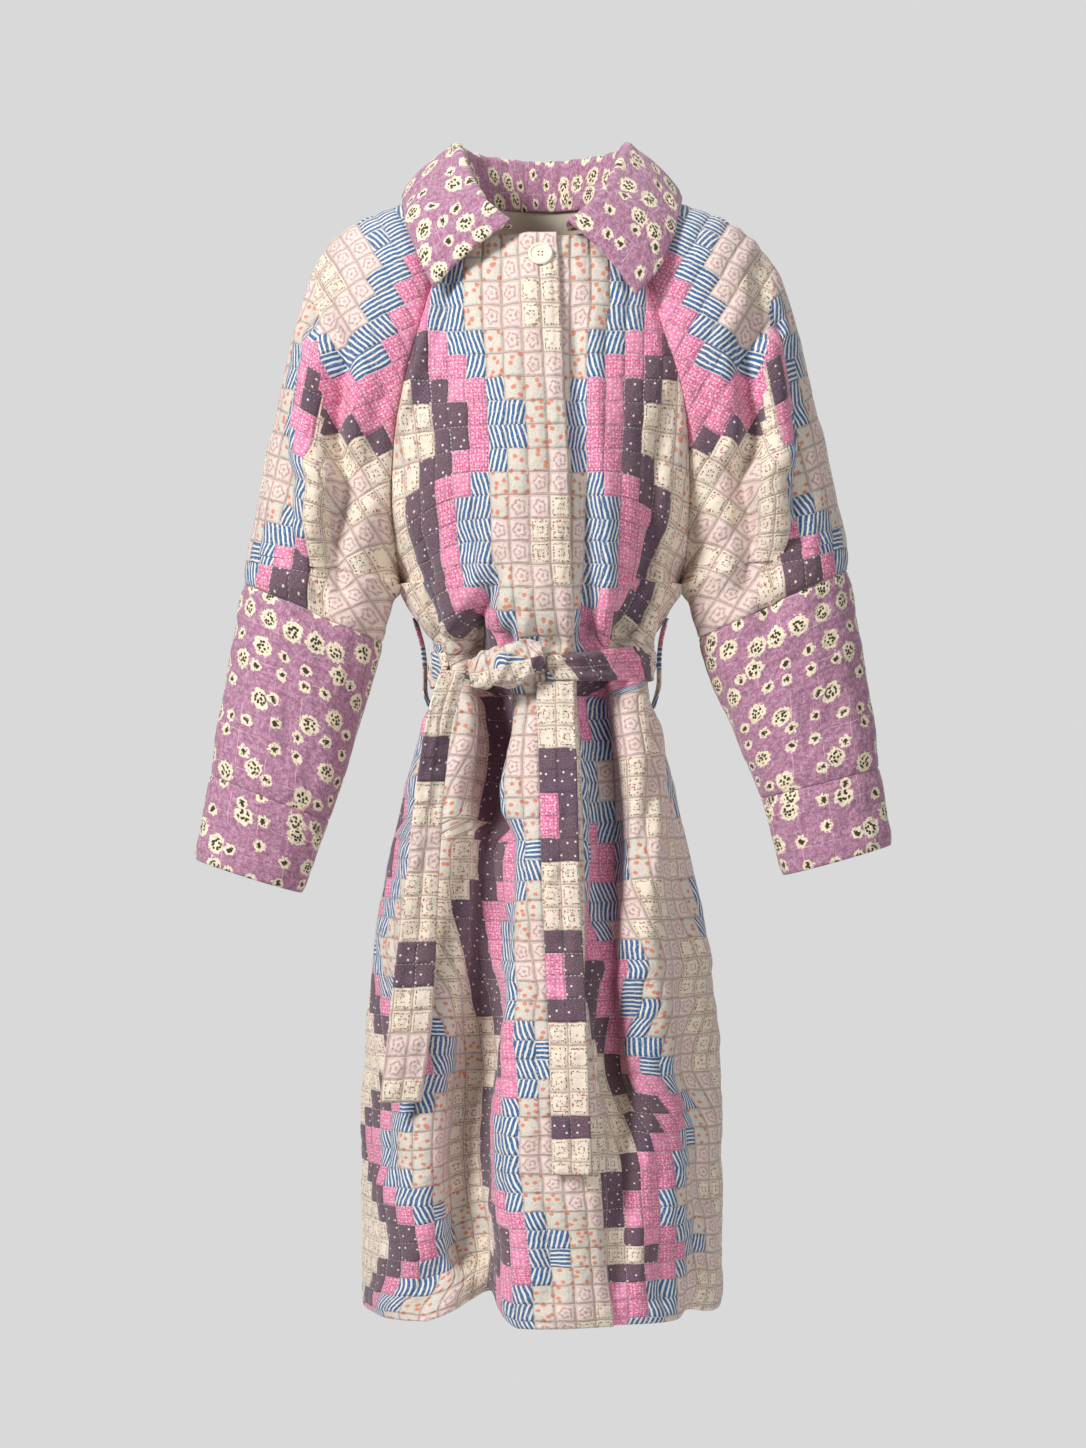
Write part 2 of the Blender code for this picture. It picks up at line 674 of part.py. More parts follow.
def neck_line(count):
    """The neck edge from the collar's right front end over the back to its left one."""
    right_end, left_end = COLLAR_ENDS
    stretches = [
        front(np.linspace(right_end, -1, 20), 0.0),
        sleeve("right")(np.linspace(-1, 1, 30), 0.0),
        back(np.linspace(-1, 1, 40), 0.0),
        sleeve("left")(np.linspace(1, -1, 30), 0.0),
        front(np.linspace(1, left_end, 20), 0.0),
    ]
    return resampled(np.concatenate(stretches), count)


def make_collar():
    """A stand set just inside the neck edge, rolled over into a fall that lies on the coat."""
    sewn = neck_line(45)
    inward = unit(sewn * np.array([1, 1, 0]))
    sewn = sewn - inward * COLLAR_SET_IN
    turn = np.degrees(np.arctan2(-sewn[:, 0], -sewn[:, 1])) % 360
    turn = 22 + (turn - turn[0]) * (342 - 22) / (turn[-1] - turn[0])
    sewn[:, 2] += COLLAR_END_RISE * step((np.abs(turn - 180) - 110) / 40)
    roll = np.stack([COLLAR.read("roll_" + axis, turn) for axis in "xyz"], axis=1)
    edge = np.stack([COLLAR.read("edge_" + axis, turn) for axis in "xyz"], axis=1)
    up = np.array([0, 0, 1.0])
    way = unit((edge - sewn) * np.array([1, 1, 0]))
    centre = roll - up * COLLAR_ROLL
    over = centre + way * COLLAR_ROLL
    rows = [sewn, sewn + (centre - way * COLLAR_ROLL - sewn) * 0.55]
    rows += [centre - way * COLLAR_ROLL, roll, over]
    points, facing = outside(0, 3.2)
    for part in (0.35, 0.7, 1.0):
        lying = over + (edge - over) * part + way * COLLAR_BULGE * math.sin(math.pi * part)
        rows.append(clear_of(lying, points, facing, COLLAR_CLEAR))
    skin = np.stack(rows)
    normal = -unit(np.cross(np.gradient(skin, axis=0), np.gradient(skin, axis=1)))
    wall("collar", skin, normal, "floral")


def make_neck_lining(skin, normal):
    """The lining that shows inside the back of the neck, on the back's own inner points."""
    skin, normal = skin[1:5, 4:-4:2], normal[1:5, 4:-4:2]
    set_in = SEAM_GAP + LINING_WALL
    wall("neck_lining", skin - normal * set_in, normal, "lining", thick=LINING_WALL, puff=0)


def make_button():
    """A turned four-hole button with a raised rim, on the overlapping front below the neck."""
    x, z = BUTTON_AT
    points, facing = outside(0, 2, sleeves=False)
    near = np.argmin(np.hypot(points[:, 0] - x, points[:, 2] - z) + (points[:, 1] > 0))
    place = np.array([x, points[near, 1], z]) - facing[near] * BUTTON_SUNK
    profile = [
        (0.0, 0.0022),
        (0.0088, 0.0022),
        (0.0100, BUTTON_THICK),
        (0.0114, BUTTON_THICK),
        (BUTTON_RADIUS, 0.0024),
        (BUTTON_RADIUS, 0.0010),
        (0.0112, 0.0),
        (0.0, 0.0),
    ]
    mesh = bpy.data.meshes.new("button")
    points = [(radius, 0.0, height) for radius, height in profile]
    mesh.from_pydata(points, [(i, i + 1) for i in range(len(profile) - 1)], [])
    button = bpy.data.objects.new("button", mesh)
    mesh.materials.append(material("button"))
    coat.objects.link(button)
    turned = button.modifiers.new("turn", "SCREW")
    turned.steps = turned.render_steps = 24
    turned.use_merge_vertices = True
    turned.merge_threshold = 0.00001
    for k in range(4):
        angle = math.pi / 4 + k * math.pi / 2
        bpy.ops.mesh.primitive_cylinder_add(vertices=8, radius=0.0011, depth=0.02)
        hole = bpy.context.object
        hole.name = f"button_hole_{k + 1}"
        for collection in list(hole.users_collection):
            collection.objects.unlink(hole)
        cutters.objects.link(hole)
        hole.location = (0.0027 * math.cos(angle), 0.0027 * math.sin(angle), 0)
        hole.parent = button
        hole.hide_render = True
        hole.display_type = "WIRE"
        cut = button.modifiers.new(f"hole_{k + 1}", "BOOLEAN")
        cut.operation = "DIFFERENCE"
        cut.object = hole
    button.location = place
    out = mathutils.Vector(facing[near])
    button.rotation_euler = out.to_track_quat("Z", "Y").to_euler()


def belt_line(side, across):
    """The belt's path round the waist: the widest of the cloth between its two edges."""
    rows = np.linspace(9.1, 11.0, 7)[:, None]
    across = np.asarray(across, float)[None, :]
    out = WALL + PUFF
    if side == "back":
        points = back(across, rows) - normals_of(back, across + 0 * rows, rows + 0 * across) * out
    else:
        spread_rows, spread_across = rows + 0 * across, across + 0 * rows
        under = front(across, rows) + normals_of(front, spread_across, spread_rows) * out
        over = lapped_front(across, rows) + normals_of(lapped_front, spread_across, spread_rows) * out
        points = np.where((across < edge_across(rows) + 0.04)[..., None], over, under)
    reach = np.max(np.hypot(points[..., 0], points[..., 1]), axis=0)
    middle = points[3]
    flat = unit(middle * np.array([1, 1, 0]))
    return flat * (reach + BELT_CLEAR)[:, None]


def strip(name, centre, across, half, out, thick=BELT_WALL, puff=BELT_PUFF):
    """A flat strip of cloth along a line, two edges and a fuller middle, with its ends square."""
    across = unit(across) * np.broadcast_to(half, len(centre))[:, None]
    skin = np.stack([centre - across, centre, centre + across], axis=1)
    normal = np.stack([unit(out)] * 3, axis=1)
    wall(name, skin, normal, "belt", thick=thick, puff=puff)


def make_belt():
    """The belt from the knot round the wearer's right, the back and the left, up to the knot."""
    ways = [("front", np.linspace(-0.66, -0.98, 6)), ("back", np.linspace(-0.98, 0.98, 25))]
    ways.append(("front", np.linspace(0.98, 0.02, 14)))
    centre, half = [], []
    for side, across in ways:
        line = belt_line(side, across)
        table_at = across if side == "front" else np.sign(across) * 1.0
        height = BELT_RING.read("z", table_at)
        if side == "back":
            share = (across + 1) / 2
            height = BELT_RING.read("z", -1.0) * (1 - share) + BELT_RING.read("z", 1.0) * share
        line[:, 2] = height
        centre.append(line)
        half.append(BELT_RING.read("half", table_at))
    centre, half = np.concatenate(centre), np.concatenate(half)
    reach = np.hypot(centre[:, 0], centre[:, 1])
    for _ in range(2):
        wider = np.maximum(reach, (np.roll(reach, 1) + np.roll(reach, -1)) / 2)
        reach[1:-1] = wider[1:-1]
    out = unit(centre * np.array([1, 1, 0]))
    centre[:, :2] = out[:, :2] * reach[:, None]
    strip("belt_wrap", centre, np.array([[0, 0, -1.0]] * len(centre)), half, out)


def make_tails():
    """The two ends that hang from the knot, pushed out wherever the skirt would meet them."""
    points, facing = outside(10, HEM, sleeves=False)
    for hand, table in TAILS.items():
        row = np.linspace(0, table.rows[-1, 0], 15)
        centre = np.stack([table.read(axis, row) for axis in "xyz"], axis=1)
        lean = table.read("lean", row)
        across = np.stack([np.cos(lean), np.sin(lean), 0 * lean], axis=1)
        half = table.read("half", row)
        for _ in range(3):
            for side in (-1, 0, 1):
                edge = centre + across * half[:, None] * side
                moved = clear_of(edge, points, facing, 0.0018) - edge
                centre[:, 1] += np.minimum(moved[:, 1], 0)
        down = unit(np.gradient(centre, axis=0))
        out = np.cross(down, across)
        out = out * np.where(out[:, 1] > 0, -1, 1)[:, None]
        strip(f"belt_tail_{hand}", centre, across, half, out)


def make_knot():
    """The wrapped knot: an oval section carried up along the belt from the lower right."""
    path = KNOT.read
    at = np.linspace(0, 4, 13)
    centre = np.stack([path(axis, at) for axis in "xyz"], axis=1)
    tall, deep = path("tall", at), path("deep", at)
    angle = np.linspace(0, 2 * math.pi, 13)[:-1]
    along = unit(np.gradient(centre, axis=0))
    ahead = np.array([0, -1.0, 0])
    up = unit(np.cross(along, ahead))
    ring = (
        centre[:, None]
        + up[:, None] * (tall[:, None] * np.sin(angle))[..., None]
        + ahead * (deep[:, None] * np.cos(angle))[..., None]
    )
    rows, columns = ring.shape[:2]
    faces = []
    for r in range(rows - 1):
        for c in range(columns):
            d = (c + 1) % columns
            faces.append((r * columns + d, (r + 1) * columns + d, (r + 1) * columns + c, r * columns + c))
    faces.append(tuple(reversed(range(columns))))
    faces.append(tuple((rows - 1) * columns + c for c in range(columns)))
    add_object("belt_knot", ring.reshape(-1, 3), faces, "belt")


def make_loops():
    """A thin loop of cloth over the belt at each side seam, sewn above and below it."""
    for hand, way in (("right", -1.0), ("left", 1.0)):
        ends = [BODY.read(hand, row) + WALL + LOOP_CLEAR for row in LOOP_ROWS]
        heights = [BODY.read("z_front", row) for row in LOOP_ROWS]
        over = abs(belt_line("back", [way])[0, 0]) + BELT_WALL + BELT_PUFF + SEAM_GAP
        middle, half = BELT_RING.read("z", way), BELT_RING.read("half", way)
        reach = np.array([ends[0], over + 0.0015, over, over, ends[1]])
        height = np.array([heights[0], middle + half, middle, middle - half, heights[1]])
        centre = np.stack([way * reach, 0 * reach, height], axis=1)
        across = np.array([[0, 1.0, 0]] * len(centre))
        down = unit(np.gradient(centre, axis=0))
        out = np.cross(across, down)
        out = out * np.where(out[:, 0] * way < 0, -1, 1)[:, None]
        strip(f"belt_loop_{hand}", centre, across, LOOP_HALF, out, LOOP_WALL, 0.0004)


back_skin, back_normal = make_panels()
for hand in ("right", "left"):
    make_lower_sleeve(hand, f"sleeve_{hand}_lower", LOWER_ROWS)
    make_lower_sleeve(hand, f"cuff_{hand}", CUFF_ROWS)
make_neck_lining(back_skin, back_normal)
make_collar()
make_button()
make_belt()
make_knot()
make_tails()
make_loops()
bpy.context.view_layer.update()
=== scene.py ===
"""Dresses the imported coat: quilted patchwork panels, floral collar and cuffs, belt and button.

Metres, +Z up, the front towards -Y, the wearer's right at -X. Every cloth piece is a shell on the
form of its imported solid, worked out from the same tables on a finer grid. Its UV map, named cut,
holds metres along the cloth, U across and V down, so that patches and prints follow the cut.
"""

import math

import bpy
import numpy as np
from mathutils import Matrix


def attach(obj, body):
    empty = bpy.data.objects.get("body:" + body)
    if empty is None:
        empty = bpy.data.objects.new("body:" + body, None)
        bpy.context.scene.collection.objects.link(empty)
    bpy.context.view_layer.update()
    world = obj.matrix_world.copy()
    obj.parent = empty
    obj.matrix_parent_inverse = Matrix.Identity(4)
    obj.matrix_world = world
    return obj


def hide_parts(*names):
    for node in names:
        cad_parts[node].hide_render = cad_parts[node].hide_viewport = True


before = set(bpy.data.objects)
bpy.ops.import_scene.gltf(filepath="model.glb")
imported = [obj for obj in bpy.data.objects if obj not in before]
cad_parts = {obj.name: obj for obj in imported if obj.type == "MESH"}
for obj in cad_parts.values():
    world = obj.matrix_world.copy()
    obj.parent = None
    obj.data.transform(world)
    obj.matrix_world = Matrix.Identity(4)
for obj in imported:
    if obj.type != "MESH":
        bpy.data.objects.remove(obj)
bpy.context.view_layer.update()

# Cloth
WALL = 0.003
PUFF = 0.0022
SEAM_GAP = 0.0006
ARMHOLE_SPREAD = 0.0075

# Overlap and belt
LAP = 0.0072
LAP_WIDTH = 0.26
LAP_RAMP = 0.22
BELT_WALL = 0.0026
BELT_PUFF = 0.0012
BELT_CLEAR = 0.0008

# Rows of the tables that mark a place on the garment
UNDERARM = 7
ELBOW = 8
CUFF_SEAM = 12
CUFF_END = 13
HEM = 17


def flowing(keys, values, at):
    """Values between given ones, where `keys` equals `at`.

    Cubic pieces whose slope at a key is the harmonic mean of its two chords' slopes, or none where
    they differ in sign, so that the curve never overshoots.
    """
    more = (1,) * (values.ndim - 1)
    steps = np.diff(keys)
    chords = np.diff(values, axis=0) / steps.reshape(-1, *more)
    before, after = chords[:-1], chords[1:]
    rising = before * after > 0
    inner = np.where(rising, 2 * before * after / np.where(rising, before + after, 1.0), 0.0)
    slopes = np.concatenate([chords[:1], inner, chords[-1:]])
    i = np.clip(np.searchsorted(keys, at, side="right") - 1, 0, len(steps) - 1)
    t = ((at - keys[i]) / steps[i]).reshape(np.shape(at) + more)
    span = steps[i].reshape(np.shape(at) + more)
    return (
        values[i] * (1 + 2 * t) * (1 - t) ** 2
        + slopes[i] * span * t * (1 - t) ** 2
        + values[i + 1] * t * t * (3 - 2 * t)
        + slopes[i + 1] * span * t * t * (t - 1)
    )


class Table:
    """A short table with named columns, read between its rows along a smooth curve."""

    def __init__(self, names, rows):
        self.names = names.split()
        self.rows = np.array(rows, float)

    def read(self, name, at):
        """The named column where the first column equals `at`."""
        keys = self.rows[:, 0]
        at = np.clip(np.asarray(at, float), keys[0], keys[-1])
        return flowing(keys, self.rows[:, self.names.index(name)], at)


# The body from neck edge to hem. z is the height at the middle and rise what the row gains at its
# ends; right and left are the half widths to the raglan seam, or to the side seam below the
# underarm; back_share narrows the back between its raglan seams.
BODY = Table(
    "row z_front rise_front z_back rise_back right left back_share front back",
    [
        (0, -0.042, 0.018, 0.000, 0.004, 0.083, 0.081, 0.72, 0.078, 0.072),
        (1, -0.086, 0.006, -0.056, 0.006, 0.109, 0.102, 0.80, 0.097, 0.093),
        (2, -0.140, 0.001, -0.124, 0.002, 0.127, 0.122, 0.88, 0.111, 0.105),
        (3, -0.201, 0.000, -0.196, 0.000, 0.143, 0.141, 0.93, 0.120, 0.112),
        (4, -0.250, 0.000, -0.250, 0.000, 0.151, 0.147, 0.96, 0.124, 0.114),
        (5, -0.304, 0.000, -0.304, 0.000, 0.154, 0.149, 0.99, 0.125, 0.112),
        (6, -0.352, 0.000, -0.352, 0.000, 0.151, 0.147, 1.00, 0.123, 0.109),
        (7, -0.390, 0.000, -0.390, 0.000, 0.145, 0.140, 1.00, 0.120, 0.105),
        (8, -0.426, 0.000, -0.426, 0.000, 0.127, 0.122, 1.00, 0.113, 0.101),
        (9, -0.452, 0.000, -0.452, 0.000, 0.109, 0.107, 1.00, 0.098, 0.090),
        (10, -0.478, 0.000, -0.478, 0.000, 0.105, 0.103, 1.00, 0.094, 0.086),
        (11, -0.504, 0.000, -0.504, 0.000, 0.107, 0.105, 1.00, 0.096, 0.088),
        (12, -0.560, 0.000, -0.560, 0.000, 0.126, 0.120, 1.00, 0.106, 0.101),
        (13, -0.680, 0.000, -0.680, 0.000, 0.156, 0.150, 1.00, 0.126, 0.126),
        (14, -0.800, 0.000, -0.800, 0.000, 0.173, 0.169, 1.00, 0.142, 0.144),
        (15, -0.910, 0.000, -0.910, 0.000, 0.180, 0.177, 1.00, 0.152, 0.155),
        (16, -1.025, 0.000, -1.025, 0.000, 0.182, 0.180, 1.00, 0.160, 0.163),
        (17, -1.132, 0.000, -1.132, 0.000, 0.182, 0.180, 1.00, 0.165, 0.166),
    ],
)

# The overlapping front edge: its distance from the middle, towards the wearer's left.
FRONT_EDGE = Table(
    "row x",
    [(0, 0.014), (2, 0.019), (5, 0.026), (9, 0.031), (12, 0.036), (15, 0.050), (17, 0.067)],
)

# How the sleeves round out. front and back are their depths, middle the plane between the two;
# turn is the angle at which the section leaves its seam, a quarter turn back where it is closed.
SLEEVE_ROUND = Table(
    "row front back middle turn",
    [
        (0, 0.042, 0.058, 0.000, 0.00),
        (1, 0.064, 0.076, 0.000, -0.12),
        (2, 0.081, 0.086, 0.000, -0.25),
        (3, 0.086, 0.088, 0.000, -0.42),
        (4, 0.083, 0.084, 0.000, -0.62),
        (5, 0.078, 0.078, 0.000, -0.86),
        (6, 0.073, 0.072, 0.000, -1.16),
        (7, 0.069, 0.067, 0.000, -math.pi / 2),
        (8, 0.064, 0.062, -0.003, -math.pi / 2),
        (10, 0.055, 0.054, -0.012, -math.pi / 2),
        (12, 0.045, 0.044, -0.021, -math.pi / 2),
        (13, 0.040, 0.040, -0.026, -math.pi / 2),
    ],
)

# The outer edge of each sleeve seen from the front, from the neck to the cuff.
SLEEVE_OUTER = {
    "right": Table(
        "row x z",
        [
            (0, -0.084, 0.004),
            (1, -0.146, -0.006),
            (2, -0.198, -0.030),
            (3, -0.232, -0.066),
            (4, -0.250, -0.130),
            (5, -0.268, -0.205),
            (6, -0.284, -0.285),
            (7, -0.298, -0.360),
            (8, -0.304, -0.392),
            (10, -0.321, -0.490),
            (12, -0.337, -0.587),
            (13, -0.353, -0.674),
        ],
    ),
    "left": Table(
        "row x z",
        [
            (0, 0.083, 0.004),
            (1, 0.146, -0.006),
            (2, 0.196, -0.028),
            (3, 0.230, -0.060),
            (4, 0.254, -0.124),
            (5, 0.273, -0.196),
            (6, 0.291, -0.275),
            (7, 0.306, -0.346),
            (8, 0.310, -0.378),
            (10, 0.327, -0.480),
            (12, 0.341, -0.580),
            (13, 0.354, -0.659),
        ],
    ),
}

# The inner edge of each sleeve below the underarm.
SLEEVE_INNER = {
    "right": Table(
        "row x z",
        [
            (7, -0.145, -0.390),
            (7.4, -0.158, -0.409),
            (8, -0.168, -0.450),
            (9, -0.180, -0.497),
            (10, -0.194, -0.543),
            (12, -0.222, -0.633),
            (13, -0.249, -0.707),
        ],
    ),
    "left": Table(
        "row x z",
        [
            (7, 0.140, -0.390),
            (7.4, 0.153, -0.409),
            (8, 0.163, -0.446),
            (9, 0.176, -0.490),
            (10, 0.196, -0.535),
            (12, 0.226, -0.610),
            (13, 0.248, -0.689),
        ],
    ),
}

# Folds: troughs where depth is below nought, ridges above. `across` runs from -1 at the wearer's
# right seam to 1 at the left one, and on a sleeve from -1 at the front seam round to 1.
FOLD_COLUMNS = "row_top row_bottom across_top across_bottom width depth_top depth_bottom".split()
FRONT_FOLDS = [
    (8.6, 18, -0.44, -0.235, 0.115, -0.010, -0.056),
    (9.4, 15.6, 0.42, 0.300, 0.085, -0.012, -0.036),
    (12.0, 18, -0.05, 0.060, 0.130, 0.002, 0.010),
    (11.5, 18, -0.66, -0.560, 0.130, 0.004, 0.012),
    (12.5, 18, 0.44, 0.420, 0.110, 0.003, 0.009),
    (13.0, 18, 0.66, 0.640, 0.090, -0.003, -0.012),
    (5.2, 9.4, 0.70, 0.560, 0.070, -0.004, -0.009),
    (5.8, 9.4, -0.66, -0.560, 0.070, -0.004, -0.008),
    (6.5, 9.4, 0.25, 0.240, 0.070, -0.002, -0.006),
    (6.5, 9.4, -0.25, -0.240, 0.080, -0.002, -0.005),
    (1.5, 5.0, -0.62, -0.700, 0.090, -0.003, -0.006),
]
BACK_FOLDS = [
    (8.8, 18, -0.34, -0.300, 0.110, -0.008, -0.040),
    (8.8, 18, 0.30, 0.340, 0.100, -0.008, -0.034),
    (9.2, 18, 0.02, 0.000, 0.130, 0.003, 0.012),
    (11.0, 18, -0.70, -0.650, 0.110, 0.003, 0.010),
    (11.0, 18, 0.68, 0.660, 0.110, 0.003, 0.010),
    (5.0, 9.4, -0.60, -0.460, 0.080, -0.004, -0.009),
    (5.4, 9.4, 0.60, 0.480, 0.080, -0.004, -0.008),
    (6.6, 9.4, 0.00, 0.010, 0.090, -0.002, -0.006),
]
SLEEVE_FOLDS = {
    "right": [
        (2.6, 8.7, -0.12, -0.56, 0.110, -0.010, -0.016),
        (5.0, 9.0, 0.45, 0.58, 0.120, -0.004, -0.010),
        (8.4, 11.6, -0.40, -0.62, 0.110, -0.006, -0.008),
        (8.2, 11.8, 0.35, 0.50, 0.140, -0.006, -0.006),
    ],
    "left": [
        (3.4, 8.9, -0.26, -0.56, 0.085, -0.012, -0.020),
        (5.0, 9.0, 0.42, 0.60, 0.120, -0.004, -0.010),
        (8.4, 11.6, -0.62, -0.36, 0.110, -0.006, -0.008),
        (8.2, 11.8, 0.30, 0.48, 0.140, -0.006, -0.006),
    ],
}

# The collar by degrees round the neck, from the wearer's right front end over the back to the left
# one: the top of its roll and its outer edge.
COLLAR = Table(
    "turn roll_x roll_y roll_z edge_x edge_y edge_z",
    [
        (22, -0.034, -0.094, -0.029, -0.110, -0.098, -0.097),
        (45, -0.056, -0.084, -0.012, -0.125, -0.085, -0.064),
        (68, -0.075, -0.054, 0.020, -0.139, -0.060, -0.026),
        (92, -0.089, 0.000, 0.060, -0.144, 0.000, 0.006),
        (135, -0.070, 0.058, 0.056, -0.108, 0.088, -0.010),
        (180, 0.000, 0.083, 0.051, 0.000, 0.116, -0.024),
        (225, 0.069, 0.058, 0.056, 0.107, 0.088, -0.010),
        (268, 0.087, 0.000, 0.060, 0.142, 0.000, 0.004),
        (292, 0.072, -0.054, 0.020, 0.134, -0.060, -0.034),
        (315, 0.050, -0.086, -0.012, 0.118, -0.088, -0.074),
        (342, 0.026, -0.096, -0.029, 0.093, -0.100, -0.104),
    ],
)
COLLAR_ROLL = 0.0026
COLLAR_BULGE = 0.006
COLLAR_SET_IN = 0.0016
COLLAR_CLEAR = 0.0027
COLLAR_END_RISE = 0.0045
COLLAR_PUFF = 0.0016
COLLAR_ENDS = (-0.34, 0.27)

# The belt's middle line seen from the front, and its half width.
BELT_RING = Table(
    "across z half",
    [
        (-1, -0.480, 0.019),
        (-0.4, -0.479, 0.015),
        (0, -0.479, 0.0125),
        (0.4, -0.475, 0.016),
        (1, -0.471, 0.0195),
    ],
)
# The knot from its lower end at the wearer's right to where it meets the belt.
KNOT = Table(
    "row x y z tall deep",
    [
        (0, -0.0745, -0.1166, -0.484, 0.012, 0.008),
        (1, -0.060, -0.1196, -0.482, 0.018, 0.011),
        (2, -0.042, -0.1216, -0.478, 0.021, 0.013),
        (3, -0.020, -0.1211, -0.471, 0.019, 0.012),
        (4, 0.000, -0.1181, -0.466, 0.014, 0.009),
    ],
)
TAILS = {
    "right": Table(
        "row x y z half lean",
        [
            (0, -0.0895, -0.118, -0.481, 0.014, 0.3),
            (1, -0.103, -0.124, -0.528, 0.015, 0.5),
            (2, -0.112, -0.126, -0.590, 0.016, 0.3),
            (3, -0.123, -0.132, -0.720, 0.019, 0.3),
            (4, -0.132, -0.138, -0.830, 0.022, 0.2),
            (5, -0.142, -0.142, -0.912, 0.021, 0.2),
        ],
    ),
    "left": Table(
        "row x y z half lean",
        [
            (0, 0.012, -0.1095, -0.4921, 0.019, 0.0),
            (1, 0.015, -0.124, -0.580, 0.019, -0.1),
            (2, 0.018, -0.134, -0.700, 0.019, 0.1),
            (3, 0.024, -0.148, -0.830, 0.019, -0.1),
            (4, 0.029, -0.164, -0.980, 0.020, 0.0),
        ],
    ),
}

# The belt loops: the body rows they are sewn at, above and below the belt.
LOOP_ROWS = (8.0, 11.35)
LOOP_HALF = 0.0035
LOOP_WALL = 0.0016
LOOP_CLEAR = 0.0015


def step(value):
    """A smooth step from 0 to 1."""
    value = np.clip(value, 0, 1)
    return value * value * (3 - 2 * value)


FOLD_FADE = 0.9
SEAM_FADE = 0.12
HEM_DROP = 0.55


def fold_depth(folds, across, row):
    """The sum of the folds: each a bell across its centre line, faded in and out along its rows."""
    total = np.zeros(np.broadcast(across, row).shape)
    for values in folds:
        fold = dict(zip(FOLD_COLUMNS, values))
        length = fold["row_bottom"] - fold["row_top"]
        along = np.clip((row - fold["row_top"]) / length, 0, 1)
        centre = fold["across_top"] + (fold["across_bottom"] - fold["across_top"]) * along
        depth = fold["depth_top"] + (fold["depth_bottom"] - fold["depth_top"]) * along
        fade = step((row - fold["row_top"]) / FOLD_FADE) * step((fold["row_bottom"] - row) / FOLD_FADE)
        total = total + depth * fade * np.exp(-(((across - centre) / fold["width"]) ** 2))
    return total


def unit(vectors):
    """Vectors brought to length 1."""
    return vectors / np.maximum(np.linalg.norm(vectors, axis=-1, keepdims=True), 1e-12)


def normals_of(surface, across, row):
    """The normal of a surface: the cross product of its small steps down and along."""
    small = 1e-3
    down = surface(across, row + small) - surface(across, row - small)
    along = surface(across + small, row) - surface(across - small, row)
    return unit(np.cross(down, along))


def spread(across, row):
    """How far the cloth stands sideways off the armhole seam, so that its two faces stay apart."""
    near_seam = step((1.06 - np.abs(across)) / 0.10) * step(np.abs(across) / 0.6)
    return ARMHOLE_SPREAD * near_seam * step((row - 4.6) / 1.8) * (row < UNDERARM + 0.01)


def seam_depth(row, side):
    """How far in front of or behind the middle plane the sleeve leaves its seam."""
    return SLEEVE_ROUND.read(side, row) * np.cos(SLEEVE_ROUND.read("turn", row))


def body_skin(across, row, side):
    """The body's inner face on the front or the back.

    Each row is an ellipse quarter to either hand: x = half width * sin(angle) and
    y = depth * cos(angle). Above the underarm the angle stops where the depth has come down to the
    sleeve's at the seam, and below it at a right angle.
    """
    across, row = np.broadcast_arrays(across, np.asarray(row, float))
    depth = BODY.read(side, row)
    share = np.where(across < 0, BODY.read("right", row), BODY.read("left", row))
    if side == "back":
        share = share * BODY.read("back_share", row)
    at_seam = np.where(row < UNDERARM, seam_depth(row, side), 0.0)
    last = np.arccos(np.clip(at_seam / depth, 0, 1))
    angle = np.abs(across) * last
    front = -1.0 if side == "front" else 1.0
    x = np.sign(across) * share * np.sin(angle) / np.sin(last)
    y = front * depth * np.cos(angle)
    z = BODY.read("z_" + side, row) + BODY.read("rise_" + side, row) * np.abs(across) ** 2
    skin = np.stack([x, y, z], axis=-1)
    outward = unit(np.stack([x / share**2, y / depth**2, np.zeros_like(x)], axis=-1))
    fold = fold_depth(FRONT_FOLDS if side == "front" else BACK_FOLDS, across, row)
    inside = step((1 - np.abs(across)) / SEAM_FADE)
    skin = skin + outward * (fold * inside)[..., None]
    skin[..., 0] -= np.sign(across) * spread(across, row)
    skin[..., 2] += np.maximum(-fold, 0) * inside * HEM_DROP * step((row - 14) / 3)
    return skin


def edge_across(row):
    """Where the overlapping front edge lies, as a share of the way to the wearer's left seam."""
    depth = BODY.read("front", row)
    at_seam = np.where(row < UNDERARM, seam_depth(row, "front"), 0.0)
    last = np.arccos(np.clip(at_seam / depth, 0, 1))
    sine = FRONT_EDGE.read("x", row) / BODY.read("left", row) * np.sin(last)
    return np.arcsin(np.clip(sine, -1, 1)) / last


def lap_lift(across, row):
    """How far the overlapping front stands off the one below it, near its edge."""
    start = edge_across(row) - LAP_WIDTH - LAP_RAMP
    return LAP * step((across - start) / LAP_RAMP)


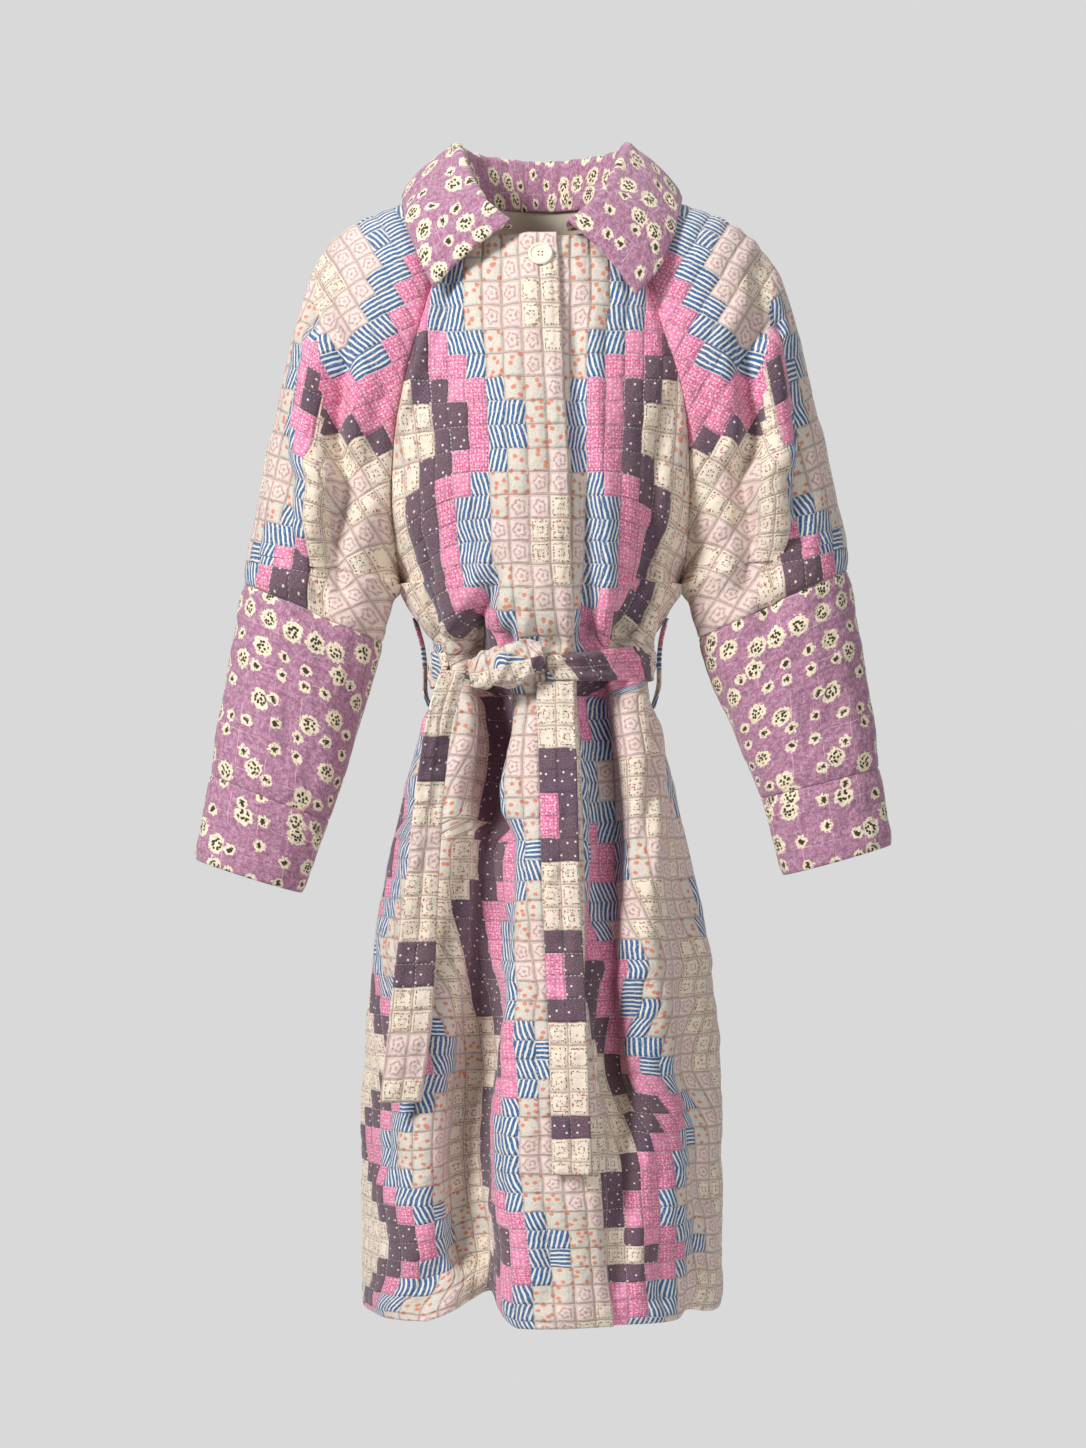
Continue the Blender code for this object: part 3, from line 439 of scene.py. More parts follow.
def sleeve_skin(around, row, hand):
    """A sleeve's inner face: from the front seam (-1) over the outer edge (0) to the back seam (1).

    Each half is an arc that turns from its seam to the outer edge: across = sin(angle), scaled to
    run from seam to edge, and y = depth * cos(angle).
    """
    around, row = np.broadcast_arrays(np.asarray(around, float), np.asarray(row, float))
    turn = SLEEVE_ROUND.read("turn", row)
    angle = turn + (1 - np.abs(around)) * (math.pi / 2 - turn)
    across = (np.sin(angle) - np.sin(turn)) / (1 - np.sin(turn))
    ahead = around < 0
    depth = np.where(ahead, -SLEEVE_ROUND.read("front", row), SLEEVE_ROUND.read("back", row))
    y = SLEEVE_ROUND.read("middle", row) + depth * np.cos(angle)
    way = -1.0 if hand == "right" else 1.0
    half = BODY.read(hand, row)
    seam_x = way * half * np.where(ahead, 1.0, BODY.read("back_share", row))
    seam_z = np.where(
        ahead,
        BODY.read("z_front", row) + BODY.read("rise_front", row),
        BODY.read("z_back", row) + BODY.read("rise_back", row),
    )
    inner_x = np.where(row <= UNDERARM, seam_x, SLEEVE_INNER[hand].read("x", row))
    inner_z = np.where(row <= UNDERARM, seam_z, SLEEVE_INNER[hand].read("z", row))
    x = inner_x + (SLEEVE_OUTER[hand].read("x", row) - inner_x) * across
    z = inner_z + (SLEEVE_OUTER[hand].read("z", row) - inner_z) * across
    skin = np.stack([x, y, z], axis=-1)
    outward = unit(np.stack([way * np.sin(angle), np.sign(depth) * np.cos(angle), 0 * x], axis=-1))
    inside = step((1 - np.abs(around)) / SEAM_FADE)
    fold = fold_depth(SLEEVE_FOLDS[hand], around, row) * inside
    skin = skin + outward * fold[..., None]
    skin[..., 0] += way * spread(around, row)
    return skin


# Cut and quilting of the dressed cloth
PITCH = 0.0029
PATCH_WIDE = 0.0201
PATCH_TALL = 0.0229
PILLOW = 0.0021
EDGE_ROUND = 0.0035
EDGE_THICK = 0.0012
QUILT_FADE = 0.012
WAVE_FADE = 0.02
FLORAL_WIDE = 0.0315
BELT_CHANNEL = 0.0414
NEAR_EDGE = (0.0, 0.0005, 0.0014, 0.0026)
SEAM_BLEND = 0.016
FRONT_BAND = 0.042


def shares(length, pitch):
    """Shares from 0 to 1, an odd number at an even pitch, with closer lines beside both edges."""
    count = 2 * max(3, round(length / pitch / 2)) + 1
    near = np.array(NEAR_EDGE) / length
    inner = np.linspace(0, 1, count)[2:-2]
    return np.concatenate([near, inner, 1 - near[::-1]])


def even_rows(heights, first, last, pitch):
    """Rows of the tables from first to last that lie at an even pitch down the cloth."""
    row = np.linspace(first, last, 600)
    length = np.abs(heights(row) - heights(first))
    total = float(length[-1])
    return np.interp(shares(total, pitch) * total, length, row)


def lengths(points, axis):
    """Arc length of a grid of points from its first line, along one axis."""
    steps = np.linalg.norm(np.diff(points, axis=axis), axis=2)
    first = np.zeros_like(np.take(steps, [0], axis=axis))
    return np.concatenate([first, np.cumsum(steps, axis=axis)], axis=axis)


def from_middle(length, across):
    """Arc length measured from where `across` passes nought, row by row."""
    rows = np.arange(len(across))
    left = np.clip(np.sum(across < 0, axis=1) - 1, 0, across.shape[1] - 2)
    a, b = across[rows, left], across[rows, left + 1]
    part = np.clip(-a / np.where(b == a, 1, b - a), 0, 1)
    middle = length[rows, left] + (length[rows, left + 1] - length[rows, left]) * part
    return length - middle[:, None]


def edge_distance(skin):
    """How far each point of a grid lies from the grid's nearest edge, along the cloth."""
    along, down = lengths(skin, 1), lengths(skin, 0)
    sides = np.minimum(along, along[:, -1:] - along)
    return np.minimum(sides, np.minimum(down, down[-1:] - down))


def pillows(u, v, wide=PATCH_WIDE, tall=PATCH_TALL):
    """Quilting: an arch across each stitched channel, lower where a patch seam crosses it."""
    arch = np.abs(np.sin(np.pi * u / wide)) ** 0.7
    patch = np.abs(np.sin(np.pi * v / tall)) ** 0.6
    return arch * (0.72 + 0.28 * patch)


# The cloth's waves: length and angle of each, and their height as a share of the length
WAVES = ((0.11, 0.4), (0.074, 1.5), (0.053, 2.4), (0.037, 0.9))
WAVE_SHARE = 0.011


def unevenness(u, v, seed):
    """Soft uneven waves of the cloth, as a sum of a few sines at unlike angles."""
    total = np.zeros_like(u)
    for k, (length, turn) in enumerate(WAVES):
        way = turn + seed * 0.7
        along = u * math.cos(way) + v * math.sin(way)
        beside = -u * math.sin(way) + v * math.cos(way)
        wave = np.sin(2 * np.pi * along / length + seed * 1.9 + k)
        total += wave * np.cos(2 * np.pi * beside / (length * 2.3) + seed + 2 * k) * length
    return total * WAVE_SHARE


def shell(
    name, skin, normal, u, v, looks, thick=WALL, puff=PILLOW, zones=None, relief=0.0, wide=PATCH_WIDE
):
    """A closed shell of cloth: an outer grid puffed along the normals, and every second line inside.

    looks are its materials: outer ones, then the lining of the inner face. zones is a pair of a
    second UV map's values and the mask of the faces that take it, with the second outer material.
    """
    edge = np.clip(edge_distance(skin) / EDGE_ROUND, 0, 1)
    rounding = np.sqrt(1 - (1 - edge) ** 2)
    soft = step(edge_distance(skin) / QUILT_FADE)
    arches = pillows(u, v, wide)
    if zones is not None:
        other = pillows(zones[0][..., 0], zones[0][..., 1], wide)
        arches = np.where(np.pad(zones[1], ((0, 1), (0, 1)), mode="edge"), other, arches)
    height = EDGE_THICK + (thick - EDGE_THICK) * rounding + (arches * puff + relief) * soft
    outer = skin + normal * height[..., None]
    inner = skin[::2, ::2]
    rows, columns = skin.shape[:2]
    inner_rows, inner_columns = inner.shape[:2]
    first = rows * columns
    grid_out = np.arange(first).reshape(rows, columns)
    grid_in = first + np.arange(inner_rows * inner_columns).reshape(inner_rows, inner_columns)
    quads = quad_grid(grid_out)
    inside = quad_grid(grid_in)[:, ::-1]
    rims = []
    loops_round = ((grid_out[0], grid_in[0], 1), (grid_out[-1], grid_in[-1], -1))
    loops_round += ((grid_out[:, 0], grid_in[:, 0], -1), (grid_out[:, -1], grid_in[:, -1], 1))
    for line, inner_line, way in loops_round:
        near, crest, far = line[:-2:2], line[1::2], line[2::2]
        a, b = inner_line[:-1], inner_line[1:]
        for corners in ((a, near, crest), (a, crest, b), (b, crest, far)):
            rims.append(np.stack(corners[::way], axis=1))
    rims = np.concatenate(rims)
    turned = np.cross(skin[1:, :-1] - skin[:-1, :-1], skin[:-1, 1:] - skin[:-1, :-1])
    if np.sum(turned * normal[:-1, :-1]) < 0:
        quads, inside, rims = quads[:, ::-1], inside[:, ::-1], rims[:, ::-1]
    cut = np.stack([u, v], axis=-1)
    flat = np.concatenate([cut.reshape(-1, 2), cut[::2, ::2].reshape(-1, 2)])
    loops = np.concatenate([quads.ravel(), inside.ravel(), rims.ravel()])
    uv = flat[loops]
    slots = np.zeros(len(quads) + len(inside) + len(rims), int)
    if zones is not None:
        second, mask = zones
        chosen = mask.ravel()
        corner = second.reshape(-1, 2)[quads]
        first_map = uv[: quads.size].reshape(-1, 4, 2)
        uv[: quads.size] = np.where(chosen[:, None, None], corner, first_map).reshape(-1, 2)
        slots[: len(quads)] = chosen
    slots[len(quads) : len(quads) + len(inside)] = len(looks) - 1
    points = np.concatenate([outer.reshape(-1, 3), inner.reshape(-1, 3)])
    faces = quads.tolist() + inside.tolist() + rims.tolist()
    return add_piece(name, points, faces, looks, uv, slots)


def quad_grid(index):
    """The quads of a grid of vertex numbers, in the order down, along."""
    corners = [index[:-1, :-1], index[1:, :-1], index[1:, 1:], index[:-1, 1:]]
    return np.stack(corners, axis=-1).reshape(-1, 4)


def add_piece(name, points, faces, looks, uv, slots=None):
    """A smooth mesh object of the coat, with its UV map in metres and its materials by face."""
    mesh = bpy.data.meshes.new(name)
    mesh.from_pydata(points.tolist(), [], faces)
    flat = np.ascontiguousarray(uv, np.float32).ravel()
    mesh.uv_layers.new(name="cut").uv.foreach_set("vector", flat)
    for look in looks:
        mesh.materials.append(look)
    if slots is not None:
        mesh.polygons.foreach_set("material_index", np.asarray(slots, np.int32))
    mesh.shade_smooth()
    mesh.update()
    piece = bpy.data.objects.new(name, mesh)
    bpy.context.scene.collection.objects.link(piece)
    return piece


def cloth_piece(piece, node):
    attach(piece, "root")
    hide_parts(node)


GATHERS = 6.5
GATHER_ROW = 9.2
GATHER_DEPTH = 0.0022


def gathers(across, row):
    """Small upright gathers above and below the belt, as a cosine that fades away from it."""
    wave = np.cos(2 * np.pi * (across * GATHERS + 0.35 * np.sin(5 * across))) - 0.4
    reach = np.where(row < GATHER_ROW, 0.8, 1.9)
    near_belt = np.exp(-(((row - GATHER_ROW) / reach) ** 2))
    return wave * near_belt * step((1 - np.abs(across)) / 0.15) * GATHER_DEPTH


def front(across, row):
    """The front's inner face."""
    return body_skin(across, row, "front")


def back(across, row):
    """The back's inner face."""
    return body_skin(across, row, "back")


def lapped_front(across, row):
    """The front of the wearer's right, which stands off the other where it overlaps it."""
    out = normals_of(front, across, row)
    return front(across, row) + out * lap_lift(across, row)[..., None]


def sleeve(hand):
    """The surface of one sleeve."""
    return lambda around, row: sleeve_skin(around, row, hand)


def fine(surface, start, end, share, rows, way):
    """A surface's skin, outward normals, and its own coordinates on a fine grid."""
    start = np.broadcast_to(start, rows.shape)[:, None]
    end = np.broadcast_to(end, rows.shape)[:, None]
    across = start + (end - start) * share[None, :]
    row = np.broadcast_to(rows[:, None], across.shape).copy()
    return {
        "skin": surface(across, row),
        "normal": way * normals_of(surface, across, row),
        "across": across,
        "row": row,
    }


def sew(first, second, down, first_last, second_last):
    """Gives two sewn edges one line and one normal, which fade into their panels over a few mm."""
    count = min(len(first["skin"]), len(second["skin"]), len(down))
    a, b = (-1 if first_last else 0), (-1 if second_last else 0)
    line = (first["skin"][:count, a] + second["skin"][:count, b]) / 2
    mean = unit(first["normal"][:count, a] + second["normal"][:count, b])
    mean = unit(mean * (1 - down[:count, None]) + np.array([0, 0, -1.0]) * down[:count, None])
    for panel, column in ((first, a), (second, b)):
        along = lengths(panel["skin"][:count], 1)
        if column == -1:
            along = along[:, -1:] - along
        fade = np.clip(1 - along / SEAM_BLEND, 0, 1)[..., None] ** 2
        shift = (line - panel["skin"][:count, column])[:, None]
        panel["skin"][:count] += shift * fade
        own = panel["normal"][:count]
        panel["normal"][:count] = unit(own * (1 - fade) + mean[:, None] * fade)


# The five panels of the shell, on one set of rows
HEIGHT_ROWS = even_rows(lambda row: BODY.read("z_front", row), 0, UNDERARM, PITCH)
LOW_ROWS = even_rows(lambda row: BODY.read("z_front", row), UNDERARM, HEM, PITCH)[1:]
ELBOW_ROWS = even_rows(lambda row: SLEEVE_OUTER["right"].read("z", row), UNDERARM, ELBOW, PITCH)[1:]
if (len(HEIGHT_ROWS) + len(LOW_ROWS)) % 2 == 0:
    LOW_ROWS = np.delete(LOW_ROWS, len(LOW_ROWS) // 2)
if (len(HEIGHT_ROWS) + len(ELBOW_ROWS)) % 2 == 0:
    ELBOW_ROWS = np.delete(ELBOW_ROWS, len(ELBOW_ROWS) // 2)
BODY_ROWS = np.concatenate([HEIGHT_ROWS, LOW_ROWS])
SLEEVE_ROWS = np.concatenate([HEIGHT_ROWS, ELBOW_ROWS])
EDGE = edge_across(BODY_ROWS)

# Creases of the fronts as lines in x and z, with their half width and depth at the start and end;
# a ridge of a share of the depth lies beside each, on the side that `lean` gives.
FRONT_CREASES = (
    # x0, z0, x1, z1, half width, depth at the start and the end, lean
    (-0.050, -0.370, -0.068, -0.468, 0.0095, 0.006, 0.026, -1),
    (-0.094, -0.300, -0.070, -0.445, 0.0100, 0.002, 0.008, -1),
    (-0.128, -0.385, -0.098, -0.455, 0.0070, 0.003, 0.008, 1),
    (-0.020, -0.400, -0.034, -0.470, 0.0060, 0.001, 0.008, 1),
    (0.128, -0.190, 0.102, -0.370, 0.0080, 0.003, 0.007, 1),
    (0.102, -0.370, 0.078, -0.468, 0.0090, 0.010, 0.024, 1),
    (0.150, -0.300, 0.112, -0.440, 0.0080, 0.002, 0.008, 1),
    (0.036, -0.120, 0.042, -0.460, 0.0085, 0.006, 0.014, 1),
    (-0.150, -0.250, -0.108, -0.350, 0.0100, 0.003, 0.004, -1),
    (-0.060, -0.495, -0.052, -0.640, 0.0150, 0.036, 0.022, -1),
    (-0.052, -0.640, -0.076, -1.080, 0.0200, 0.022, 0.030, -1),
    (-0.098, -0.500, -0.112, -0.640, 0.0080, 0.012, 0.002, -1),
    (-0.140, -0.620, -0.165, -0.980, 0.0130, 0.003, 0.008, -1),
    (0.058, -0.495, 0.062, -0.800, 0.0150, 0.034, 0.024, 1),
    (0.062, -0.800, 0.078, -1.100, 0.0130, 0.024, 0.006, 1),
    (0.101, -0.500, 0.097, -0.780, 0.0055, 0.007, 0.004, 1),
    (0.130, -0.560, 0.160, -1.020, 0.0140, 0.003, 0.009, 1),
    (0.020, -0.500, 0.014, -0.600, 0.0060, 0.008, 0.001, -1),
    (-0.061, -0.500, -0.056, -0.760, 0.0070, 0.018, 0.006, -1),
    (-0.100, -0.080, -0.143, -0.240, 0.0055, -0.007, -0.006, 1),
    (0.132, -0.095, 0.150, -0.200, 0.0060, -0.004, -0.004, -1),
    (-0.185, -0.760, -0.205, -1.080, 0.0150, 0.002, 0.009, -1),
    (0.010, -0.900, 0.000, -1.110, 0.0140, 0.001, 0.008, -1),
    (0.110, -0.820, 0.122, -1.110, 0.0150, 0.002, 0.010, 1),
    (-0.110, -1.000, -0.120, -1.120, 0.0120, 0.003, 0.010, 1),
)
SLEEVE_CREASES = (
    (-0.226, -0.055, -0.214, -0.140, 0.0100, 0.004, 0.018, -1),
    (-0.214, -0.140, -0.206, -0.270, 0.0130, 0.018, 0.030, -1),
    (-0.206, -0.270, -0.203, -0.405, 0.0140, 0.030, 0.018, -1),
    (-0.155, -0.190, -0.185, -0.300, 0.0100, 0.003, 0.006, -1),
    (-0.250, -0.360, -0.215, -0.430, 0.0090, 0.003, 0.007, -1),
    (-0.285, -0.400, -0.235, -0.420, 0.0080, 0.002, 0.005, 1),
    (-0.215, -0.455, -0.262, -0.520, 0.0100, 0.007, 0.002, 1),
    (-0.235, -0.560, -0.300, -0.600, 0.0100, 0.004, 0.003, 1),
)
RIDGE_SHARE = 0.45


def crease_height(skin, creases, way=1.0):
    """How far creases move the cloth: -depth * (a bell across the line - a share of one beside)."""
    x, z = skin[..., 0] * way, skin[..., 2]
    total = np.zeros_like(x)
    for x0, z0, x1, z1, half, first, last, lean in creases:
        long = math.hypot(x1 - x0, z1 - z0)
        across, down = (x1 - x0) / long, (z1 - z0) / long
        along = ((x - x0) * across + (z - z0) * down) / long
        beside = (x - x0) * down - (z - z0) * across
        beside = -beside + half * 0.5 * np.sin(5.0 * along + 40 * x0)
        depth = first + (last - first) * np.clip(along, 0, 1)
        fade = step((along * long + 0.02) / 0.035) * step(((1 - along) * long + 0.02) / 0.035)
        bell = np.exp(-((beside / half) ** 2))
        ridge = np.exp(-(((beside - lean * 2.0 * half) / (1.2 * half)) ** 2))
        total += -depth * fade * (bell - RIDGE_SHARE * ridge)
    return total


panels = {
    "front_right": fine(lapped_front, -1.0, EDGE, shares(0.33, PITCH), BODY_ROWS, 1),
    "front_left": fine(front, EDGE - LAP_WIDTH, 1.0, shares(0.30, PITCH), BODY_ROWS, 1),
    "back": fine(back, -1.0, 1.0, shares(0.52, PITCH * 1.15), BODY_ROWS, -1),
    "sleeve_right_upper": fine(sleeve("right"), -1.0, 1.0, shares(0.42, PITCH * 1.2), SLEEVE_ROWS, -1),
    "sleeve_left_upper": fine(sleeve("left"), -1.0, 1.0, shares(0.42, PITCH * 1.2), SLEEVE_ROWS, 1),
}


def raise_by(panel, height):
    """Moves a panel's cloth out along its normals."""
    panel["skin"] += panel["normal"] * height[..., None]


BACK_SHARE = 0.6
BACK_OF_ARM = 0.5
for name, way, share in (("front_right", 1.0, 1.0), ("front_left", 1.0, 1.0), ("back", -1.0, BACK_SHARE)):
    panel = panels[name]
    raise_by(panel, gathers(panel["across"], panel["row"]))
    inside = step((1 - np.abs(panel["across"])) / 0.10)
    raise_by(panel, share * crease_height(panel["skin"], FRONT_CREASES, way) * inside)
for hand, way in (("right", 1.0), ("left", -1.0)):
    panel = panels[f"sleeve_{hand}_upper"]
    around = np.abs(panel["across"])
    facing = np.where(panel["across"] < 0, 1.0, BACK_OF_ARM) * step((1 - around) / 0.15)
    raise_by(panel, crease_height(panel["skin"], SLEEVE_CREASES, way) * (facing * step(around / 0.12)))
count = len(HEIGHT_ROWS)
down = step((HEIGHT_ROWS - 5.2) / (UNDERARM - 5.2))
level = np.zeros(len(BODY_ROWS))
for hand in ("right", "left"):
    front_panel, upper = panels["front_" + hand], panels[f"sleeve_{hand}_upper"]
    body_last = hand == "left"
    sew(front_panel, upper, down, body_last, False)
    sew(panels["back"], upper, down, body_last, True)
    low_front = {key: front_panel[key][count:] for key in ("skin", "normal")}
    low_back = {key: panels["back"][key][count:] for key in ("skin", "normal")}
    sew(low_front, low_back, level, body_last, body_last)
    arm = {key: upper[key][count - 1 :] for key in ("skin", "normal")}
    sew(arm, arm, level, False, True)


# Patch rows from the neck down: patches = ROWS_A_METRE * z + ROWS_MORE * z * z - ROWS_START
ROWS_START = 0.574
ROWS_A_METRE = 38.6
ROWS_MORE = 8.0
SIDE_DIP = 0.034
LEFT_START = 0.0325
SHOULDER_TURN = 0.52
SHOULDER_START = (0.237, -0.040)
SHOULDER_ROUND = 0.3


def body_cut(panel, side, from_edge=False, start=0.0):
    """U from the middle or from the front edge, V down in patch rows that grow shorter to the hem."""
    across, row = panel["across"], panel["row"]
    u = lengths(panel["skin"], 1)
    u = u[:, -1:] - u if from_edge else from_middle(u, across)
    height = BODY.read("z_" + side, row) + BODY.read("rise_" + side, row) * across**2
    dip = SIDE_DIP * step((np.abs(across) - 0.35) / 0.65)
    dip = dip * step((row - 3.0) / 3) * (1 - step((row - 8.6) / 0.9))
    down = -height - dip
    return u + start, PATCH_TALL * (ROWS_A_METRE * down + ROWS_MORE * down**2 - ROWS_START)


def sleeve_cut(panel, last_row):
    """U round from the outer edge, towards the front above nought; V along that edge."""
    u = -from_middle(lengths(panel["skin"], 1), panel["across"])
    middle = panel["skin"].shape[1] // 2
    down = lengths(panel["skin"], 0)[:, middle]
    v = np.broadcast_to((down - down[-1] + last_row)[:, None], u.shape)
    return u, v


def shoulder_cut(panel, hand):
    """The shoulder's own grain, turned along its ridge: U along the ridge, V down from it."""
    way = -1.0 if hand == "right" else 1.0
    ridge = np.array([way * math.cos(SHOULDER_TURN), 0, -math.sin(SHOULDER_TURN)])
    down = np.array([-way * math.sin(SHOULDER_TURN), 0, -math.cos(SHOULDER_TURN)])
    skin = panel["skin"]
    v = skin @ down + SHOULDER_ROUND * np.abs(skin[..., 1])
    return np.stack([skin @ ridge - SHOULDER_START[0], v - SHOULDER_START[1]], axis=-1)


# Finishes
def srgb(red, green, blue):
    """A colour given as 0 to 255 in sRGB, in the shader's linear values."""
    value = np.array([red, green, blue]) / 255
    linear = np.where(value <= 0.04045, value / 12.92, ((value + 0.055) / 1.055) ** 2.4)
    return (*linear.tolist(), 1.0)


INK = {
    "cream": srgb(236, 221, 200),
    "mauve print": srgb(229, 210, 200),
    "mauve mark": srgb(178, 134, 138),
    "orange ground": srgb(218, 209, 196),
    "orange dot": srgb(216, 118, 84),
    "speck": srgb(158, 156, 150),
    "blue": srgb(38, 96, 146),
    "blue ground": srgb(232, 228, 222),
    "pink": srgb(224, 116, 160),
    "pink dot": srgb(180, 50, 104),
    "pale pink": srgb(240, 190, 208),
    "purple": srgb(84, 61, 76),
    "purple speck": srgb(160, 138, 154),
    "white": srgb(238, 232, 224),
    "black": srgb(58, 50, 54),
    "red": srgb(184, 84, 70),
    "seam": srgb(164, 122, 104),
    "mauve": srgb(160, 106, 132),
    "light mauve": srgb(196, 152, 174),
    "deep mauve": srgb(126, 78, 108),
    "flower": srgb(236, 222, 192),
    "flower eye": srgb(62, 44, 36),
    "lining": srgb(222, 210, 190),
    "button": srgb(240, 230, 208),
}


class Value:
    """A value inside a material: each sum, product or comparison of it adds one node."""

    def __init__(self, finish, socket):
        self.finish, self.socket = finish, socket

    def __add__(self, other):
        return self.finish.math("ADD", self, other)

    def __sub__(self, other):
        return self.finish.math("SUBTRACT", self, other)

    def __rsub__(self, other):
        return self.finish.math("SUBTRACT", other, self)

    def __mul__(self, other):
        return self.finish.math("MULTIPLY", self, other)

    def __lt__(self, other):
        return self.finish.math("LESS_THAN", self, other)

    def __gt__(self, other):
        return self.finish.math("GREATER_THAN", self, other)

    def __abs__(self):
        return self.finish.math("ABSOLUTE", self)


class Finish:
    """A material's node tree, with short calls for its masks, noises and mixes."""

    def __init__(self, name, roughness=0.9, sheen=0.25):
        self.material = bpy.data.materials.new(name)
        self.material.use_nodes = True
        self.nodes = self.material.node_tree.nodes
        self.links = self.material.node_tree.links
        self.shader = self.nodes["Principled BSDF"]
        self.shader.inputs["Roughness"].default_value = roughness
        self.shader.inputs["Sheen Weight"].default_value = sheen
        self.shader.inputs["Sheen Roughness"].default_value = 0.6
        self.shader.inputs["Specular IOR Level"].default_value = 0.25

    def node(self, kind, output=0, settings=(), **inputs):
        """A node with its settings and inputs, by name with _ for a space, as the value it gives."""
        node = self.nodes.new("ShaderNode" + kind)
        for setting, value in dict(settings).items():
            setattr(node, setting, value)
        for socket, value in inputs.items():
            self.put(node.inputs[socket.replace("_", " ")], value)
        return Value(self, node.outputs[output])

    def put(self, socket, value):
        """Sets a socket to a constant, or links a value to it."""
        if isinstance(value, Value):
            self.links.new(value.socket, socket)
        else:
            socket.default_value = value

    def math(self, operation, first, second=0.0):
        """One sum, product or other function of two values."""
        node = self.nodes.new("ShaderNodeMath")
        node.operation = operation
        self.put(node.inputs[0], first)
        self.put(node.inputs[1], second)
        return Value(self, node.outputs[0])

    def larger(self, first, second):
        """The larger of two values."""
        return self.math("MAXIMUM", first, second)

    def chart(self, index, steps):
        """A value read off a short list by a whole number, which starts again after its end."""
        node = self.nodes.new("ShaderNodeValToRGB")
        node.color_ramp.interpolation = "CONSTANT"
        elements = node.color_ramp.elements
        count, highest = len(steps), max(steps)
        elements[1].position = 1 / count
        for k in range(2, count):
            elements.new(k / count)
        for element, value in zip(elements, steps):
            element.color = (value / highest, value / highest, value / highest, 1)
        turn = self.math("FLOORED_MODULO", index + 0.5, float(count))
        self.put(node.inputs[0], turn * (1 / count))
        return Value(self, node.outputs[0]) * highest

    def soft(self, value, low, high):
        """0 at low, 1 at high, smooth between."""
        smooth = {"interpolation_type": "SMOOTHSTEP"}
        return self.node("MapRange", "Result", smooth, Value=value, From_Min=low, From_Max=high)

    def mix(self, share, first, second):
        """The first colour, with a share of the second."""
        node = self.nodes.new("ShaderNodeMix")
        node.data_type = "RGBA"
        for index, value in ((0, share), (6, first), (7, second)):
            self.put(node.inputs[index], value)
        return Value(self, node.outputs[2])

    def cut(self):
        """The piece's own map in metres, and its U and V."""
        place = self.node("UVMap", settings={"uv_map": "cut"})
        parts = self.node("SeparateXYZ", Vector=place)
        return place, parts, Value(self, parts.socket.node.outputs[1])

    def place(self):
        """The point in the object's own metres."""
        return self.node("TexCoord", "Object")

    def noise(self, place, size, detail=2.0, rough=0.5):
        """Cloudy noise from 0 to 1 whose largest spots have the size."""
        return self.node("TexNoise", "Fac", Vector=place, Scale=1 / size, Detail=detail, Roughness=rough)

    def cells(self, place, size, jitter=1.0):
        """Distance from the nearest cell point, in cell sizes."""
        flat = {"voronoi_dimensions": "2D"}
        return self.node("TexVoronoi", "Distance", flat, Vector=place, Scale=1 / size, Randomness=jitter)

    def chance_of(self, near):
        """The random value of the cell that `cells` gave the distance to."""
        return self.node("SeparateColor", Color=Value(self, near.socket.node.outputs["Color"]))

    def random(self, x, y, seed):
        """A random value from 0 to 1 for each pair of whole numbers."""
        pair = self.node("CombineXYZ", X=x, Y=y, Z=seed)
        return self.node("TexWhiteNoise", "Value", {"noise_dimensions": "3D"}, Vector=pair)

    def bump(self, heights):
        """Stacked bumps: each a height, its depth in metres and its strength."""
        last = None
        for height, distance, strength in heights:
            under = {} if last is None else {"Normal": last}
            last = self.node("Bump", Strength=strength, Distance=distance, Height=height, **under)
        self.put(self.shader.inputs["Normal"], last)

    def done(self, colour):
        """Gives the shader its colour."""
        self.put(self.shader.inputs["Base Color"], colour)
        return self.material


# Sizes of the prints, in metres
STRIPE_PITCH = 0.0051
DOT_SPACE = 0.0098
MARK_SPACE = 0.0062
PINK_DOT_SPACE = 0.0029
PALE_DOT_SPACE = 0.0045
PURPLE_DOT_SPACE = 0.0125
STITCH_PITCH = 0.0042
CUT_WARP = 0.0042
WEAVE = 0.0007
CRUMPLE = 0.012
GROOVE = 0.0026
FLORAL_CHANNEL = 0.0315
FLORAL_ROW = 0.037
FLOWER_SPACE = 0.0262


def print_blue(f, patch, level_share):
    """Stripes, level on a share of the patches, the rest slanted one way and the other by turns."""
    slant = (f.math("FLOORED_MODULO", patch["row"], 2.0) < 0.5) * 0.56 - 0.28
    level = patch["chance"] < level_share
    course = (patch["u"] + patch["v"] * slant) * (1.0 - level) + patch["v"] * level
    wobble = (f.noise(patch["place"], 0.009, 1.0) - 0.5) * 0.0016
    stripe = f.math("FRACT", (course + wobble) * (1 / STRIPE_PITCH))
    worn = f.soft(f.noise(patch["place"], 0.0024, 2.0), 0.5, 0.75) * 0.35
    blue = f.mix(worn, INK["blue"], INK["blue ground"])
    return f.mix(f.soft(abs(stripe - 0.5), 0.26, 0.34), blue, INK["blue ground"])


def print_orange(f, patch):
    """Orange dots on a ground specked with grey."""
    place = patch["place"]
    dot = f.cells(place, DOT_SPACE, 0.9)
    specks = f.soft(f.noise(place, 0.0013, 3.0, 0.7), 0.50, 0.64)
    ground = f.mix(specks * 0.7, INK["orange ground"], INK["speck"])
    rough_dot = dot + (f.noise(place, 0.003, 2.0) - 0.5) * 0.30
    return f.mix(f.soft(rough_dot, 0.27, 0.19) * 0.85, ground, INK["orange dot"])


